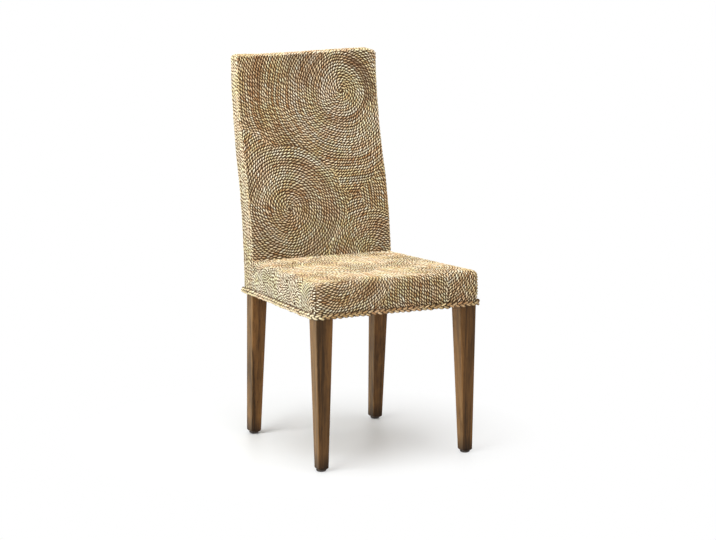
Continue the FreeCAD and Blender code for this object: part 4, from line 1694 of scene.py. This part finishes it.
@dataclass
class Studio:
    """The floor, the lamps and the camera."""

    eye: tuple[float, float, float] = (-2.3387, -4.4564, 1.2375)
    yaw: float = -0.48798
    pitch: float = -0.15297
    focal: float = 97.08
    floor_half: float = 14.0
    floor_cells: int = 8
    floor_below: float = 0.2 * MM
    glow: float = 0.24
    lamps: tuple[Lamp, ...] = (
        Lamp("key", (-3.4, -0.9, 2.3), (0, 0, 0.6), 3.2, 185, (0.94, 0.98, 1.0)),
        Lamp("top", (-0.2, -0.1, 3.4), (0, 0, 0.4), 2.8, 95, (1.0, 1.0, 1.0)),
        Lamp("fill", (1.6, -4.0, 1.8), (0, 0, 0.6), 2.6, 22, (1.0, 0.97, 0.92)),
    )

    def floor(self) -> Piece:
        """Makes the floor.

        Returns:
            The floor.
        """
        parts = MeshParts()
        line = np.linspace(-self.floor_half, self.floor_half, self.floor_cells + 1)
        grid = np.stack(np.meshgrid(line, line, indexing="ij"), -1).reshape(-1, 2)
        points = np.concatenate([grid, np.full((len(grid), 1), -self.floor_below)], axis=1)
        parts.add(points, grid_faces(len(line), len(line)))
        piece = parts.build("studio_floor", FloorFinish().build())
        piece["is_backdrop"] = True
        return piece

    def sky(self) -> None:
        """Sets an even pale world, plain white where the camera sees it."""
        world = bpy.data.worlds.new("studio_sky")
        bpy.context.scene.world = world
        world.use_nodes = True
        tree = world.node_tree
        tree.nodes.clear()
        output = tree.nodes.new("ShaderNodeOutputWorld")
        path = tree.nodes.new("ShaderNodeLightPath")
        mix = tree.nodes.new("ShaderNodeMixShader")
        lit, seen = (tree.nodes.new("ShaderNodeBackground") for _ in range(2))
        lit.inputs["Color"].default_value = WHITE
        lit.inputs["Strength"].default_value = self.glow
        seen.inputs["Color"].default_value = WHITE
        socket = path.outputs["Is Camera Ray"]
        for name in ("Is Glossy Ray", "Is Transmission Ray"):
            either = tree.nodes.new("ShaderNodeMath")
            either.operation = "MAXIMUM"
            tree.links.new(socket, either.inputs[0])
            tree.links.new(path.outputs[name], either.inputs[1])
            socket = either.outputs[0]
        tree.links.new(socket, mix.inputs["Fac"])
        tree.links.new(lit.outputs[0], mix.inputs[1])
        tree.links.new(seen.outputs[0], mix.inputs[2])
        tree.links.new(mix.outputs[0], output.inputs["Surface"])

    def camera(self) -> None:
        """Puts the camera where the photograph was taken from."""
        data = bpy.data.cameras.new("photo_view")
        data.lens = self.focal
        data.sensor_width = 36.0
        data.clip_end = 100.0
        camera = bpy.data.objects.new("photo_view", data)
        turn = Matrix.Rotation(self.yaw, 4, "Z") @ Matrix.Rotation(math.pi / 2 + self.pitch, 4, "X")
        camera.matrix_world = Matrix.Translation(self.eye) @ turn
        bpy.context.scene.collection.objects.link(camera)
        bpy.context.scene.camera = camera

    def build(self) -> None:
        """Sets up the whole studio."""
        self.floor()
        self.sky()
        self.camera()
        for lamp in self.lamps:
            lamp.build()
        bpy.context.scene.view_settings.view_transform = "Standard"


def write_sizes() -> None:
    """Gathers the CAD box and the dressed chair's box as plain numbers."""
    boxes = {"cad": CAD_BOX, "visual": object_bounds()}
    plain = {name: [[float(v) for v in corner] for corner in box] for name, box in boxes.items()}


def main() -> None:
    """Builds the studio, then the dress over the frame, then finishes the frame's pieces."""
    logging.basicConfig(level=logging.INFO, format="%(message)s")
    Studio().build()
    rope, cloth = RopeFinish().build(), SackingFinish().build()
    back, seat = RopeBack(), RopeSeat()
    for piece in back.build(rope, cloth) + seat.build(rope, cloth):
        LOG.info("%s rides on root", piece.name)
    hem = HemBraid(seat.net, back.rear_depth).build("hem_plait", BRAID_FINISH.build())
    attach(hem, "root")
    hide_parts("hem_braid")
    LOG.info("%s rides on root", hem.name)
    nylon = GlideFinish().build()
    for side, way in (("left", -1), ("right", 1)):
        for foot, (wide, deep) in FEET.items():
            glide = Glide(f"{foot}_{side}", (way * wide * MM, deep * MM)).build(nylon)
            LOG.info("%s rides on root", glide.name)
    WoodenFrame().build()
    write_sizes()


if __name__ == "__main__":
    main()
